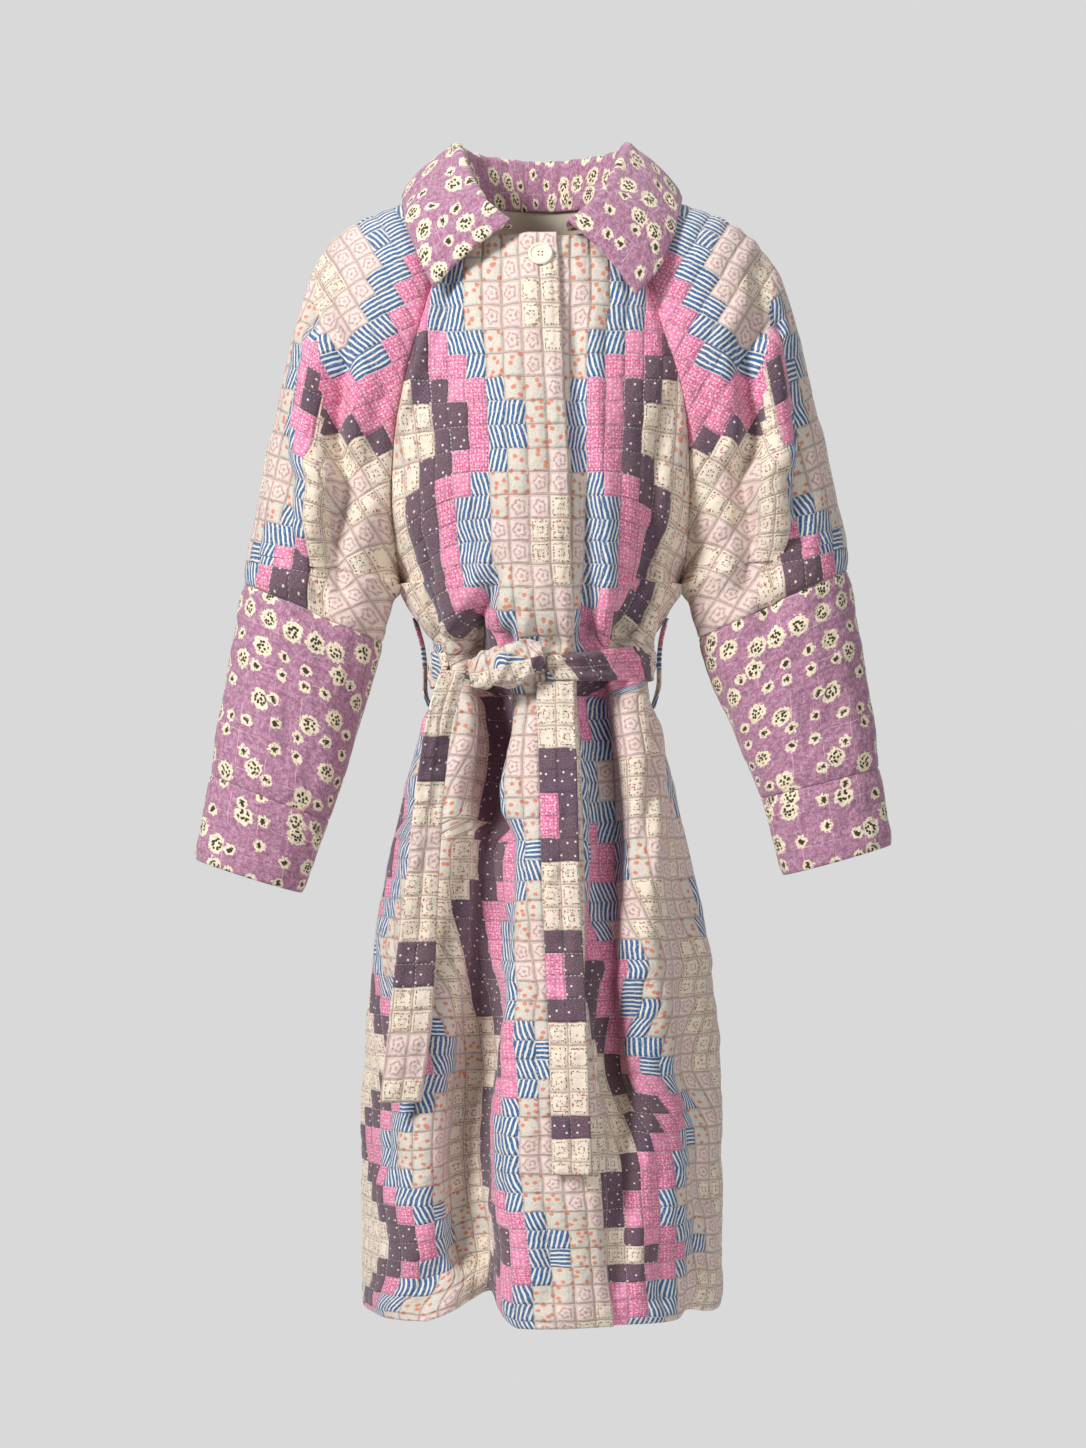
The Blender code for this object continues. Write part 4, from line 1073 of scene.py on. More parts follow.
def print_mauve(f, patch):
    """One ringed flower to a patch, in mauve, inside a thin frame."""
    place, radius = patch["place"], patch["radius"]
    lobes = f.math("COSINE", patch["angle"] * 5.0) * 0.035
    ring = f.soft(abs(radius - (lobes + 0.27)), 0.075, 0.035)
    eye = f.soft(radius, 0.12, 0.06)
    rim = f.soft(abs(patch["square"] - 0.43), 0.03, 0.012)
    faint = f.soft(f.noise(place, 0.0022, 3.0, 0.6), 0.34, 0.56)
    marks = f.larger(f.larger(ring, eye), rim * 0.6) * faint
    bloom = f.soft(f.noise(place, 0.0034, 3.0, 0.6), 0.56, 0.66) * 0.4
    printed = f.mix(bloom, INK["mauve print"], INK["mauve mark"])
    return f.mix(marks * 0.85, printed, INK["mauve mark"])


def print_dashed(f, patch):
    """Dashed frames in black, with a few red marks and ochre smudges."""
    place, square = patch["place"], patch["square"]
    outer = f.soft(abs(square - 0.36), 0.05, 0.025)
    middle = f.soft(abs(square - 0.13), 0.05, 0.02)
    drawn = f.larger(outer, middle * (patch["chance"] < 0.6))
    broken = f.soft(f.noise(place, 0.0017, 1.0), 0.50, 0.55)
    blot = f.cells(place, MARK_SPACE, 0.9)
    red_marks = f.soft(blot, 0.26, 0.18) * f.soft(f.noise(place, 0.011, 0.0), 0.50, 0.56)
    smudge = f.soft(f.noise(place, 0.008, 3.0, 0.6), 0.5, 0.7) * 0.45
    paper = f.mix(smudge, INK["cream"], INK["mauve print"])
    dashed = f.mix(drawn * broken * 0.9, paper, INK["black"])
    return f.mix(red_marks * 0.6, dashed, INK["red"])


def print_pink(f, patch):
    """Small dots on pink, white and deep pink."""
    place = patch["place"]
    small = f.cells(place, PINK_DOT_SPACE, 0.5)
    tone = f.soft(f.noise(place, 0.006, 3.0), 0.3, 0.7)
    pink = f.mix(tone * 0.4, INK["pink"], INK["pale pink"])
    pink = f.mix(f.soft(small, 0.34, 0.2) * (patch["chance"] < 0.7) * 0.8, pink, INK["pink dot"])
    pale = f.cells(place, PALE_DOT_SPACE, 0.5)
    return f.mix(f.soft(pale, 0.25, 0.15) * 0.7, pink, INK["white"])


def print_purple(f, patch):
    """Pale specks and a few white dots on dark purple."""
    place = patch["place"]
    dust = f.soft(f.noise(place, 0.0014, 3.0, 0.75), 0.44, 0.68)
    dark = f.mix(dust * 0.5, INK["purple"], INK["purple speck"])
    dot = f.cells(place, PURPLE_DOT_SPACE, 0.75)
    return f.mix(f.soft(dot, 0.11, 0.06) * 0.9, dark, INK["white"])


# Which fabric starts at which ring, from a diamond's centre outwards
RINGS = (
    (3.95, "blue"),
    (5.45, "pink"),
    (6.95, "purple"),
    (8.95, "dashed"),
    (10.95, "print"),
    (12.95, "orange"),
    (14.7, "blue"),
    (16.2, "pink"),
    (18.0, "purple"),
    (20.0, "dashed"),
)
HEART = (2.0, 4.0)
FAR_RING = 8.9
OUTER_RING = 10.9


def in_field(f, field, patch, ring, core):
    """Rings and core of a field: its own |start + sign * (columns + chart)| where it lies."""
    left, right, top, end = field["within"]
    column, row = patch["column"] - field["at"][0], patch["row"] - field["at"][1]
    away = abs(column + 0.5) - 0.5
    value = abs((away + f.chart(row, field["gain"])) * field["sign"] + field["start"])
    inside = (patch["row"] > top - 0.5) * (patch["row"] < end - 0.5)
    inside = inside * (patch["column"] > left - 0.5) * (patch["column"] < right - 0.5)
    return ring + inside * (value - ring), core + inside * (value + 1.0 - core)


def patchwork(
    name, centre, gain, heart=None, fields=(), wide_above=None, blue_start=0.0, pink_end=0.0, level=0.05
):
    """Squares of printed cotton in rings round diamond centres.

    A patch's ring is the columns from its centre + what the chart `gain` gives its row. Rings go
    from the centre out as RINGS lists them. `heart` charts the rings of the pale middle, which are
    steeper. Each field has its own centre, start, sign and chart, within its columns and rows.
    """
    f = Finish(name)
    place, u, v = f.cut()
    u = u + (f.noise(place, 0.031, 1.0) - 0.5) * CUT_WARP
    v = v + (f.noise(place, 0.023, 1.0) - 0.5) * CUT_WARP
    x, y = (u - centre[0]) * (1 / PATCH_WIDE), (v - centre[1]) * (1 / PATCH_TALL)
    column, row = f.math("FLOOR", x), f.math("FLOOR", y)
    in_u, in_v = x - column, y - row
    far_u, far_v = in_u - 0.5, in_v - 0.5
    patch = {
        "place": place,
        "u": u,
        "v": v,
        "column": column,
        "row": row,
        "chance": f.random(column, row, 3.7),
        "radius": f.math("SQRT", far_u * far_u + far_v * far_v),
        "angle": f.math("ARCTAN2", far_v, far_u),
        "square": f.larger(abs(far_u), abs(far_v)),
    }
    far = abs(column + 0.5) - 0.5
    ring = far + f.chart(row, gain)
    core = ring + 1.0
    if heart is not None:
        core = far + f.chart(row, heart)
        ring = ring + (ring > OUTER_RING) * (core - ring)
    if wide_above is not None:
        ring = ring - (row < wide_above)
    for field in fields:
        ring, core = in_field(f, field, patch, ring, core)
    prints = {
        "blue": print_blue(f, patch, level),
        "orange": print_orange(f, patch),
        "print": print_mauve(f, patch),
        "dashed": print_dashed(f, patch),
        "pink": print_pink(f, patch),
        "purple": print_purple(f, patch),
    }
    colour = prints["orange"]
    for limit, fabric in RINGS:
        first_blue = fabric == "blue" and limit < FAR_RING
        start = limit + pink_end * (fabric == "purple") + blue_start * first_blue
        colour = f.mix(ring > start, colour, prints[fabric])
    near = ring < FAR_RING
    colour = f.mix(near * (core < HEART[1]), colour, prints["print"])
    colour = f.mix(near * (core < HEART[0]), colour, prints["dashed"])
    light = (ring < RINGS[0][0] + blue_start) + (ring > RINGS[3][0]) * (ring < RINGS[6][0])
    colour = f.mix(f.random(column, row, 5.3) * 0.10, colour, INK["seam"])
    # patch seams: a thin brown line on light cloth, white running stitches on dark, and painted shade
    # towards each seam
    edge_u = f.math("MINIMUM", in_u, 1.0 - in_u) * PATCH_WIDE
    edge_v = f.math("MINIMUM", in_v, 1.0 - in_v) * PATCH_TALL
    edge = f.math("MINIMUM", edge_u, edge_v)
    colour = f.mix(f.soft(edge, 0.0008, 0.0003) * light * 0.65, colour, INK["seam"])
    dashes = f.math("FRACT", (u + v) * (1 / STITCH_PITCH)) < 0.5
    shown = f.soft(f.random(column, row, 7.7), 0.45, 0.6) * 0.6
    stitches = f.soft(edge, 0.0007, 0.0003) * (1.0 - light) * dashes * shown
    colour = f.mix(stitches, colour, INK["white"])
    # painted shade: the cloth darkens towards black within 3.5 mm of each patch seam, where it dips into
    # the stitched groove
    colour = f.mix(f.soft(edge, 0.0035, 0.0) * 0.16, colour, INK["black"])
    weave, crumple = f.noise(place, WEAVE, 2.0, 0.6), f.noise(place, CRUMPLE, 3.0, 0.55)
    groove = f.soft(edge, 0.0, GROOVE)
    f.bump([(crumple, 0.005, 0.55), (groove, 0.0011, 0.7), (weave, 0.0004, 0.35)])
    return f.done(colour)


def floral(name):
    """Mottled mauve cotton with ragged cream flowers, large and small, and thin pale quilting."""
    f = Finish(name)
    place, u, v = f.cut()
    mottle = f.noise(place, 0.0052, 4.0, 0.7)
    colour = f.mix(f.soft(mottle, 0.36, 0.66), INK["mauve"], INK["light mauve"])
    streaks = f.soft(f.noise(place, 0.0024, 4.0, 0.75), 0.46, 0.64)
    colour = f.mix(streaks * 0.72, colour, INK["deep mauve"])
    across = abs(f.math("FRACT", u * (1 / FLORAL_CHANNEL)) - 0.5)
    along = abs(f.math("FRACT", v * (1 / FLORAL_ROW)) - 0.5)
    lines = f.larger(f.soft(across, 0.022, 0.010), f.soft(along, 0.018, 0.008))
    worn = f.soft(f.noise(place, 0.02, 1.0), 0.45, 0.6)
    colour = f.mix(lines * worn * 0.55, colour, INK["pale pink"])
    ragged = f.noise(place, 0.0042, 3.0, 0.7) - 0.5
    eyes = f.cells(place, 0.0036, 0.85)
    flower = f.cells(place, FLOWER_SPACE, 0.62)
    large = f.soft(f.chance_of(flower), 0.48, 0.52)
    edge = flower - large * 0.15 + ragged * 0.50
    colour = f.mix(f.soft(edge, 0.245, 0.215), colour, INK["flower"])
    one_eye = (1.0 - large) * f.soft(edge, 0.125, 0.095)
    many_eyes = large * f.soft(flower, 0.29, 0.23) * f.soft(eyes, 0.46, 0.35)
    colour = f.mix(one_eye + many_eyes, colour, INK["flower eye"])
    weave, crumple = f.noise(place, WEAVE, 2.0, 0.6), f.noise(place, CRUMPLE, 3.0, 0.55)
    f.bump([(crumple, 0.005, 0.6), (1.0 - lines, 0.0008, 0.6), (weave, 0.0004, 0.35)])
    return f.done(colour)


def lining(name, mapped=True):
    """Plain cream cotton with a slubbed weave."""
    f = Finish(name, roughness=0.85)
    place = f.cut()[0] if mapped else f.place()
    slub = f.noise(place, 0.004, 4.0, 0.6)
    colour = f.mix(slub * 0.35, INK["lining"], INK["cream"])
    f.bump([(f.noise(place, 0.02, 2.0), 0.003, 0.3), (f.noise(place, WEAVE, 2.0, 0.6), 0.0004, 0.35)])
    return f.done(colour)


def resin(name):
    """Cream resin with faint clouding and a soft shine."""
    f = Finish(name, roughness=0.32, sheen=0.0)
    place = f.place()
    colour = f.mix(f.noise(place, 0.006, 3.0) * 0.3, INK["button"], INK["cream"])
    f.bump([(f.noise(place, 0.001, 2.0), 0.0001, 0.2)])
    return f.done(colour)


def plain(name, colour, roughness=0.9):
    """One colour with a faint unevenness."""
    f = Finish(name, roughness=roughness, sheen=0.0)
    f.bump([(f.noise(f.place(), 0.05, 3.0), 0.001, 0.05)])
    return f.done(colour)


# Materials of the panels. A centre is in metres on the panel's own cut, and a chart has an entry
# for each row of patches.
BODY_GAIN = (0.0, 0.0, 0.3, 0.7, 1.5, 2.0, 2.0, 1.5, 0.7, 0.3)
BODY_HEART = (0.0, 0.0, 1.0, 2.0, 3.0, 4.0, 4.0, 3.0, 2.0, 1.0)
SLEEVE_GAIN = (0.4, 0.4, 1.2, 2.0, 2.7, 3.3, 3.3, 2.7, 2.0, 1.2, 0.4, 0.4, 1.25, 2.25, 3.2, 4.0)
SHOULDER_GAIN = (0.0, *np.arange(0.5, 9.0).tolist(), *[9.5] * 16, 0.5, 0.0, 0.0)
UNDER_ARM = {"at": (0, 9), "within": (-60, 60, 10, 26), "start": 9.3, "sign": 0.3, "gain": (0.0, 1.0, 2.5)}
BELT_GAIN = (4.5, 9.3, 7.5, 6.0, 6.0, 7.5, 7.5, 9.5)
LOOP_GAIN = (6.0, 4.5, 3.0, 4.5)
TAIL_GAINS = {
    "right": (
        *(9.0, 9.2, 9.4, 7.1, 7.4, 9.1, 9.3, 11.2, 11.4, 9.2),
        *(9.4, 9.0, 7.2, 7.3, 9.2, 9.0, 11.3, 11.1, 9.3, 9.1),
    ),
    "left": (
        *(9.0, 9.2, 9.4, 7.1, 7.4, 6.0, 6.2, 7.2, 9.0, 9.2),
        *(9.4, 7.2, 6.0, 6.3, 7.1, 9.0, 9.3, 9.1, 9.4, 7.2),
    ),
}
SKIRT_FIELD = {
    "at": (5, 28),
    "within": (0, 60, 7, 60),
    "start": 11.6,
    "sign": -1.0,
    "gain": (
        *(0.0, 0.7, 1.5, 2.3, 3.1, 3.9, 3.2, 2.4, 1.6, 3.0),
        *(4.6, 4.6, 5.4, 6.6, 6.6, 6.6, 6.6, 6.3, 6.0, 5.5),
        *(5.0, 4.5, 4.2, 4.0, 3.8, 3.4, 3.0, 2.4, 1.6, 0.9),
    ),
}
WEDGE_FIELD = {
    "at": (6, 12),
    "within": (6, 60, 12, 20),
    "start": 7.0,
    "sign": -1.0,
    "gain": (3.0, 2.0, 1.0, 0.0, 0.0, 2.0, 2.0, 3.0),
}
BODY_TOP = 13 * PATCH_TALL
BODY_CHART = ((0.0, BODY_TOP), BODY_GAIN, BODY_HEART)
WIDE_ABOVE = -8.5
SKIRT = (SKIRT_FIELD, WEDGE_FIELD)
body_cloth = patchwork("patchwork_front_right", *BODY_CHART, wide_above=WIDE_ABOVE)
left_cloth = patchwork(
    "patchwork_front_left", *BODY_CHART, fields=SKIRT, wide_above=WIDE_ABOVE, pink_end=0.5
)
back_cloth = patchwork("patchwork_back", *BODY_CHART)
INNER_ARM = {"at": (5, 0), "within": (5, 60, -15, 1), "start": 9.3, "sign": 0.35, "gain": (0.0, 2.5, 1.0)}
sleeve_cloth = {
    hand: patchwork(f"patchwork_sleeve_{hand}", (0.0, 0.0), SLEEVE_GAIN, fields=(INNER_ARM,), level=0.08)
    for hand in ("right", "left")
}
shoulder_cloth = {
    hand: patchwork(
        f"patchwork_shoulder_{hand}",
        (0.0, 0.0),
        SHOULDER_GAIN,
        fields=(UNDER_ARM,),
        blue_start=-1.0,
        pink_end=0.6,
        level=0.7,
    )
    for hand in ("right", "left")
}
flowers = floral("mauve_floral")
plain_lining = lining("lining_cotton")


# Fronts, back and upper sleeves
WAVINESS = 0.95
# Stitched grooves along the front edge: distance from it, width and depth
EDGE_GROOVES = ((FRONT_BAND, 0.0022, 0.0011), (0.007, 0.0014, 0.0007))


def make_uneven(panel, u, v, seed, share=WAVINESS):
    """Adds the cloth's soft waves, which fade out towards the panel's edges."""
    fade = step(edge_distance(panel["skin"]) / WAVE_FADE)
    panel["skin"] += panel["normal"] * (unevenness(u, v, seed) * share * fade)[..., None]


def dress_panel(node, u, v, looks, seed=1.0, **more):
    """Rumples a panel, gives it its shell, and binds the shell to its node."""
    panel = panels[node]
    make_uneven(panel, u, v, seed)
    piece = shell("dressed_" + node, panel["skin"], panel["normal"], u, v, looks, **more)
    cloth_piece(piece, node)


def dress_front(hand, cloth):
    """A front: the wearer's right one is cut from its edge, whose band is stitched down."""
    panel = panels["front_" + hand]
    relief = 0.0
    if hand == "right":
        u, v = body_cut(panel, "front", from_edge=True)
        away = lengths(panel["skin"], 1)[:, -1:] - lengths(panel["skin"], 1)
        for place, wide, deep in EDGE_GROOVES:
            relief = relief - deep * np.exp(-(((away - place) / wide) ** 2))
    else:
        u, v = body_cut(panel, "front", start=LEFT_START)
    dress_panel("front_" + hand, u, v, [cloth, plain_lining], relief=relief)


dress_front("right", body_cloth)
dress_front("left", left_cloth)
dress_panel("back", *body_cut(panels["back"], "back"), [back_cloth, plain_lining], seed=2.0)

# The crease down each sleeve: the heights and distances from the middle that it passes
CREASE_HEIGHTS = (-0.45, -0.405, -0.270, -0.140, -0.055)
CREASE_PLACES = (0.2125, 0.214, 0.217, 0.222, 0.232)
for hand in ("right", "left"):
    panel = panels[f"sleeve_{hand}_upper"]
    u, v = sleeve_cut(panel, 0.0)
    make_uneven(panel, u, v, 3.0)
    x, z = np.abs(panel["skin"][..., 0]), panel["skin"][..., 2]
    beyond = (x < np.interp(z, CREASE_HEIGHTS, CREASE_PLACES)) | (z > CREASE_HEIGHTS[-1])
    zones = (shoulder_cut(panel, hand), beyond[:-1, :-1])
    looks = [sleeve_cloth[hand], shoulder_cloth[hand], plain_lining]
    name = f"sleeve_{hand}_upper"
    piece = shell("dressed_" + name, panel["skin"], panel["normal"], u, v, looks, zones=zones)
    cloth_piece(piece, name)


# Lower sleeves and cuffs: tubes whose seam runs along the inner arm
def arm_tube(hand, first, last, pitch):
    """A stretch of one arm between two rows, closed along its inner seam."""
    way = -1 if hand == "right" else 1
    rows = even_rows(lambda row: SLEEVE_OUTER[hand].read("z", row), first, last, pitch)
    panel = fine(sleeve(hand), -1.0, 1.0, shares(0.34, PITCH * 1.25), rows, way)
    sew(panel, panel, np.zeros(len(rows)), False, True)
    return panel


for hand in ("right", "left"):
    stretches = ((ELBOW, CUFF_SEAM, f"sleeve_{hand}_lower"), (CUFF_SEAM, CUFF_END, f"cuff_{hand}"))
    for first, last, name in stretches:
        panel = arm_tube(hand, first, last, PITCH * 1.1)
        u, v = sleeve_cut(panel, 0.0 if first == ELBOW else 0.3)
        make_uneven(panel, u, v, 4.0 + first, share=1.0)
        looks = [flowers, plain_lining]
        piece = shell("dressed_" + name, panel["skin"], panel["normal"], u, v, looks, wide=FLORAL_WIDE)
        cloth_piece(piece, name)


# Collar
def outside(first, last, sleeves=True):
    """Points all over the outer faces between two rows, and the way that each of them faces."""
    rows = np.linspace(first, last, 34)
    edge = edge_across(rows)
    share = np.linspace(0, 1, 61)
    pieces = [
        fine(lapped_front, -1.0, edge, share, rows, 1),
        fine(front, edge, 1.0, share, rows, 1),
        fine(back, -1.0, 1.0, share, rows, -1),
    ]
    if sleeves:
        pieces.append(fine(sleeve("right"), -1.0, 1.0, share, rows, -1))
        pieces.append(fine(sleeve("left"), -1.0, 1.0, share, rows, 1))
    points = [(made["skin"] + made["normal"] * (WALL + PUFF)).reshape(-1, 3) for made in pieces]
    return np.concatenate(points), np.concatenate([made["normal"].reshape(-1, 3) for made in pieces])


def clear_of(points, cloud, facing, gap):
    """Moves each point out until it clears the nearest cloud point's face by the gap."""
    moved = points.reshape(-1, 3).copy()
    for _ in range(3):
        distance = np.linalg.norm(moved[:, None] - cloud[None], axis=2)
        near = np.argmin(distance, axis=1)
        depth = np.sum((moved - cloud[near]) * facing[near], axis=1)
        moved += facing[near] * np.maximum(gap - depth, 0)[:, None]
    return moved.reshape(points.shape)


def resampled(line, count):
    """A line of points at even distances along itself."""
    length = np.concatenate([[0], np.cumsum(np.linalg.norm(np.diff(line, axis=0), axis=1))])
    at = np.linspace(0, length[-1], count)
    return np.stack([np.interp(at, length, line[:, k]) for k in range(3)], axis=1)


def neck_line(count):
    """The neck edge from the collar's right front end over the back to its left one."""
    right_end, left_end = COLLAR_ENDS
    stretches = [
        front(np.linspace(right_end, -1, 20), 0.0),
        sleeve("right")(np.linspace(-1, 1, 30), 0.0),
        back(np.linspace(-1, 1, 40), 0.0),
        sleeve("left")(np.linspace(1, -1, 30), 0.0),
        front(np.linspace(1, left_end, 20), 0.0),
    ]
    return resampled(np.concatenate(stretches), count)


def smooth_rows(rows, at):
    """Rows of points joined by cubic pieces whose slopes never overshoot, read at shares 0 to 1."""
    gaps = np.maximum(np.linalg.norm(np.diff(rows, axis=0), axis=2).mean(axis=1), 1e-6)
    keys = np.concatenate([[0], np.cumsum(gaps)])
    return flowing(keys / keys[-1], rows, at)


def dress_collar():
    """The stand inside the neck edge, rolled over into a fall that lies on the coat."""
    sewn = neck_line(241)
    inward = unit(sewn * np.array([1, 1, 0]))
    sewn = sewn - inward * COLLAR_SET_IN
    turn = np.degrees(np.arctan2(-sewn[:, 0], -sewn[:, 1])) % 360
    turn = 22 + (turn - turn[0]) * (342 - 22) / (turn[-1] - turn[0])
    sewn[:, 2] += COLLAR_END_RISE * step((np.abs(turn - 180) - 110) / 40)
    roll = np.stack([COLLAR.read("roll_" + axis, turn) for axis in "xyz"], axis=1)
    edge = np.stack([COLLAR.read("edge_" + axis, turn) for axis in "xyz"], axis=1)
    up = np.array([0, 0, 1.0])
    way = unit((edge - sewn) * np.array([1, 1, 0]))
    centre = roll - up * COLLAR_ROLL
    over = centre + way * COLLAR_ROLL
    rows = [sewn, sewn + (centre - way * COLLAR_ROLL - sewn) * 0.55]
    rows += [centre - way * COLLAR_ROLL, roll, over]
    points, facing = outside(0, 3.2)
    for part in (0.35, 0.7, 1.0):
        lying = over + (edge - over) * part + way * COLLAR_BULGE * math.sin(math.pi * part)
        rows.append(clear_of(lying, points, facing, COLLAR_CLEAR))
    coarse = np.stack(rows)
    skin = smooth_rows(coarse, shares(0.15, 0.0022))
    normal = -unit(np.cross(np.gradient(skin, axis=0), np.gradient(skin, axis=1)))
    u = lengths(skin, 1)
    u = u - u[:, u.shape[1] // 2][:, None]
    u = np.broadcast_to(u[-20:].mean(axis=0), u.shape)
    v = lengths(skin, 0)
    stitched = -0.0006 * np.exp(-(((edge_distance(skin) - 0.006) / 0.0013) ** 2))
    looks = [flowers, flowers]
    collar = {"relief": stitched, "wide": FLORAL_WIDE, "puff": COLLAR_PUFF}
    piece = shell("dressed_collar", skin, normal, u, v, looks, **collar)
    cloth_piece(piece, "collar")


dress_collar()


# Belt, its knot, ends and loops
WRAP_WRINKLES = 0.0013
TAIL_WRINKLES = 0.0009
TAIL_CLEAR = 0.0018
LOOP_TURN = 0.7
KNOT_TURNS = 97


def belt_line(side, across):
    """The belt's path round the waist: the widest of the cloth between its two edges."""
    rows = np.linspace(9.1, 11.0, 7)[:, None]
    across = np.asarray(across, float)[None, :]
    out = WALL + PUFF
    if side == "back":
        points = back(across, rows) - normals_of(back, across + 0 * rows, rows + 0 * across) * out
    else:
        spread_rows, spread_across = rows + 0 * across, across + 0 * rows
        under = front(across, rows) + normals_of(front, spread_across, spread_rows) * out
        over = lapped_front(across, rows) + normals_of(lapped_front, spread_across, spread_rows) * out
        points = np.where((across < edge_across(rows) + 0.04)[..., None], over, under)
    reach = np.max(np.hypot(points[..., 0], points[..., 1]), axis=0)
    flat = unit(points[3] * np.array([1, 1, 0]))
    return flat * (reach + BELT_CLEAR)[:, None]


def strip(
    node, centre, across, half, out, look, thick=BELT_WALL, columns=0.0024, wrinkles=0.0, from_end=False
):
    """A strip of cloth carried along a line: its edges rounded, its middle fuller and creased."""
    side = shares(2 * float(np.mean(half)), columns) * 2 - 1
    across = unit(across)
    half = np.broadcast_to(half, len(centre))
    skin = centre[:, None] + across[:, None] * (half[:, None] * side[None, :])[..., None]
    normal = np.broadcast_to(unit(out)[:, None], skin.shape).copy()
    run = lengths(skin, 0).mean(axis=1)[:, None]
    if wrinkles:
        crease = np.sin(run * 210 + side * 2.2) * np.cos(run * 93 - side * 1.3)
        pleat = np.sin(side * 4.2 + run * 21) + 0.5 * np.sin(side * 8.5 - run * 34)
        skin = skin + normal * (wrinkles * (crease + pleat) * (1 - side**2) ** 0.5)[..., None]
    u = side[None, :] * half[:, None] + 0 * run
    v = run + 0.7 * u - run[-1] if from_end else run + 0 * u
    sizes = {"thick": thick, "puff": BELT_PUFF, "wide": BELT_CHANNEL}
    piece = shell("dressed_" + node, skin, normal, u, v, [look, look], **sizes)
    cloth_piece(piece, node)


def denser(points, count):
    """A line read at more points along itself, smooth between the given ones."""
    at = np.linspace(0, len(points) - 1, count)
    return smooth_rows(points[:, None], at / (len(points) - 1))[:, 0]


def belt_path():
    """The belt from the knot round the wearer's right, the back and the left, up to the knot."""
    ways = [("front", np.linspace(-0.66, -0.98, 6)), ("back", np.linspace(-0.98, 0.98, 25))]
    ways.append(("front", np.linspace(0.98, 0.02, 14)))
    centre, half = [], []
    for side, across in ways:
        line = belt_line(side, across)
        table_at = across if side == "front" else np.sign(across) * 1.0
        height = BELT_RING.read("z", table_at)
        if side == "back":
            share = (across + 1) / 2
            height = BELT_RING.read("z", -1.0) * (1 - share) + BELT_RING.read("z", 1.0) * share
        line[:, 2] = height
        centre.append(line)
        half.append(BELT_RING.read("half", table_at))
    centre, half = np.concatenate(centre), np.concatenate(half)
    reach = np.hypot(centre[:, 0], centre[:, 1])
    for _ in range(2):
        wider = np.maximum(reach, (np.roll(reach, 1) + np.roll(reach, -1)) / 2)
        reach[1:-1] = wider[1:-1]
    out = unit(centre * np.array([1, 1, 0]))
    centre[:, :2] = out[:, :2] * reach[:, None]
    return centre, half


belt_cloth = patchwork("patchwork_belt", (0.0, 0.0), BELT_GAIN)
loop_cloth = patchwork("patchwork_loop", (-0.0101, 0.007), LOOP_GAIN)
tail_cloth = {
    hand: patchwork(f"patchwork_tail_{hand}", (-PATCH_WIDE, 0.0), gain)
    for hand, gain in TAIL_GAINS.items()
}
centre, half = belt_path()
count = 421
centre = denser(centre, count)
half = np.interp(np.linspace(0, 1, count), np.linspace(0, 1, len(half)), half)
out = unit(centre * np.array([1, 1, 0]))
down = np.array([[0, 0, -1.0]] * count)
strip("belt_wrap", centre, down, half, out, belt_cloth, wrinkles=WRAP_WRINKLES, from_end=True)

points, facing = outside(10, HEM, sleeves=False)
for hand, table in TAILS.items():
    row = np.linspace(0, table.rows[-1, 0], 15)
    centre = np.stack([table.read(axis, row) for axis in "xyz"], axis=1)
    lean = table.read("lean", row)
    across = np.stack([np.cos(lean), np.sin(lean), 0 * lean], axis=1)
    half = table.read("half", row)
    for _ in range(3):
        for side in (-1, 0, 1):
            edge = centre + across * half[:, None] * side
            moved = clear_of(edge, points, facing, TAIL_CLEAR) - edge
            centre[:, 1] += np.minimum(moved[:, 1], 0)
    count = 261
    at = np.linspace(0, 1, count)
    given = np.linspace(0, 1, len(row))
    centre = denser(centre, count)
    lean, half = np.interp(at, given, lean), np.interp(at, given, half)
    across = np.stack([np.cos(lean), np.sin(lean), 0 * lean], axis=1)
    down = unit(np.gradient(centre, axis=0))
    out = np.cross(down, across)
    out = out * np.where(out[:, 1] > 0, -1, 1)[:, None]
    name = f"belt_tail_{hand}"
    strip(name, centre, across, half, out, tail_cloth[hand], wrinkles=TAIL_WRINKLES)


def dress_knot():
    """An oval section carried up along the belt, pinched and ridged by the turns of cloth in it."""
    at = np.linspace(0, 4, 121)
    centre = np.stack([KNOT.read(axis, at) for axis in "xyz"], axis=1)
    tall, deep = KNOT.read("tall", at), KNOT.read("deep", at)
    angle = np.linspace(0, 2 * math.pi, KNOT_TURNS)
    along = unit(np.gradient(centre, axis=0))
    ahead = np.array([0, -1.0, 0])
    up = unit(np.cross(along, ahead))
    turn = angle[None, :] + 1.1 * at[:, None]
    ridge = 1 + 0.10 * np.cos(3 * turn) + 0.05 * np.cos(7 * turn + at[:, None])
    bulge = 1 - 0.12 * np.exp(-(((at - 1.5) / 0.25) ** 2))
    ring = (
        centre[:, None]
        + up[:, None] * (tall[:, None] * bulge[:, None] * ridge * np.sin(angle))[..., None]
        + ahead * (deep[:, None] * bulge[:, None] * ridge * np.cos(angle))[..., None]
    )
    u = lengths(ring, 1)
    v = np.broadcast_to(lengths(ring, 0).mean(axis=1)[:, None], u.shape)
    index = np.arange(ring[..., 0].size).reshape(ring.shape[:2])
    quads = quad_grid(index)[:, ::-1]
    first = index.size
    ends = np.stack([ring[0, :-1].mean(axis=0), ring[-1, :-1].mean(axis=0)])
    hub = np.full(KNOT_TURNS - 1, first)
    caps = [np.stack([index[0, :-1], index[0, 1:], hub], axis=1)]
    caps.append(np.stack([index[-1, 1:], index[-1, :-1], hub + 1], axis=1))
    caps = np.concatenate(caps)
    points = np.concatenate([ring.reshape(-1, 3), ends])
    flat = np.concatenate([np.stack([u, v], axis=-1).reshape(-1, 2), [[0, 0], [0, 0]]])
    loops = np.concatenate([quads.ravel(), caps.ravel()])
    faces = quads.tolist() + caps.tolist()
    piece = add_piece("dressed_belt_knot", points, faces, [tail_cloth["left"]], flat[loops])
    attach(piece, "root")
    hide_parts("belt_knot")


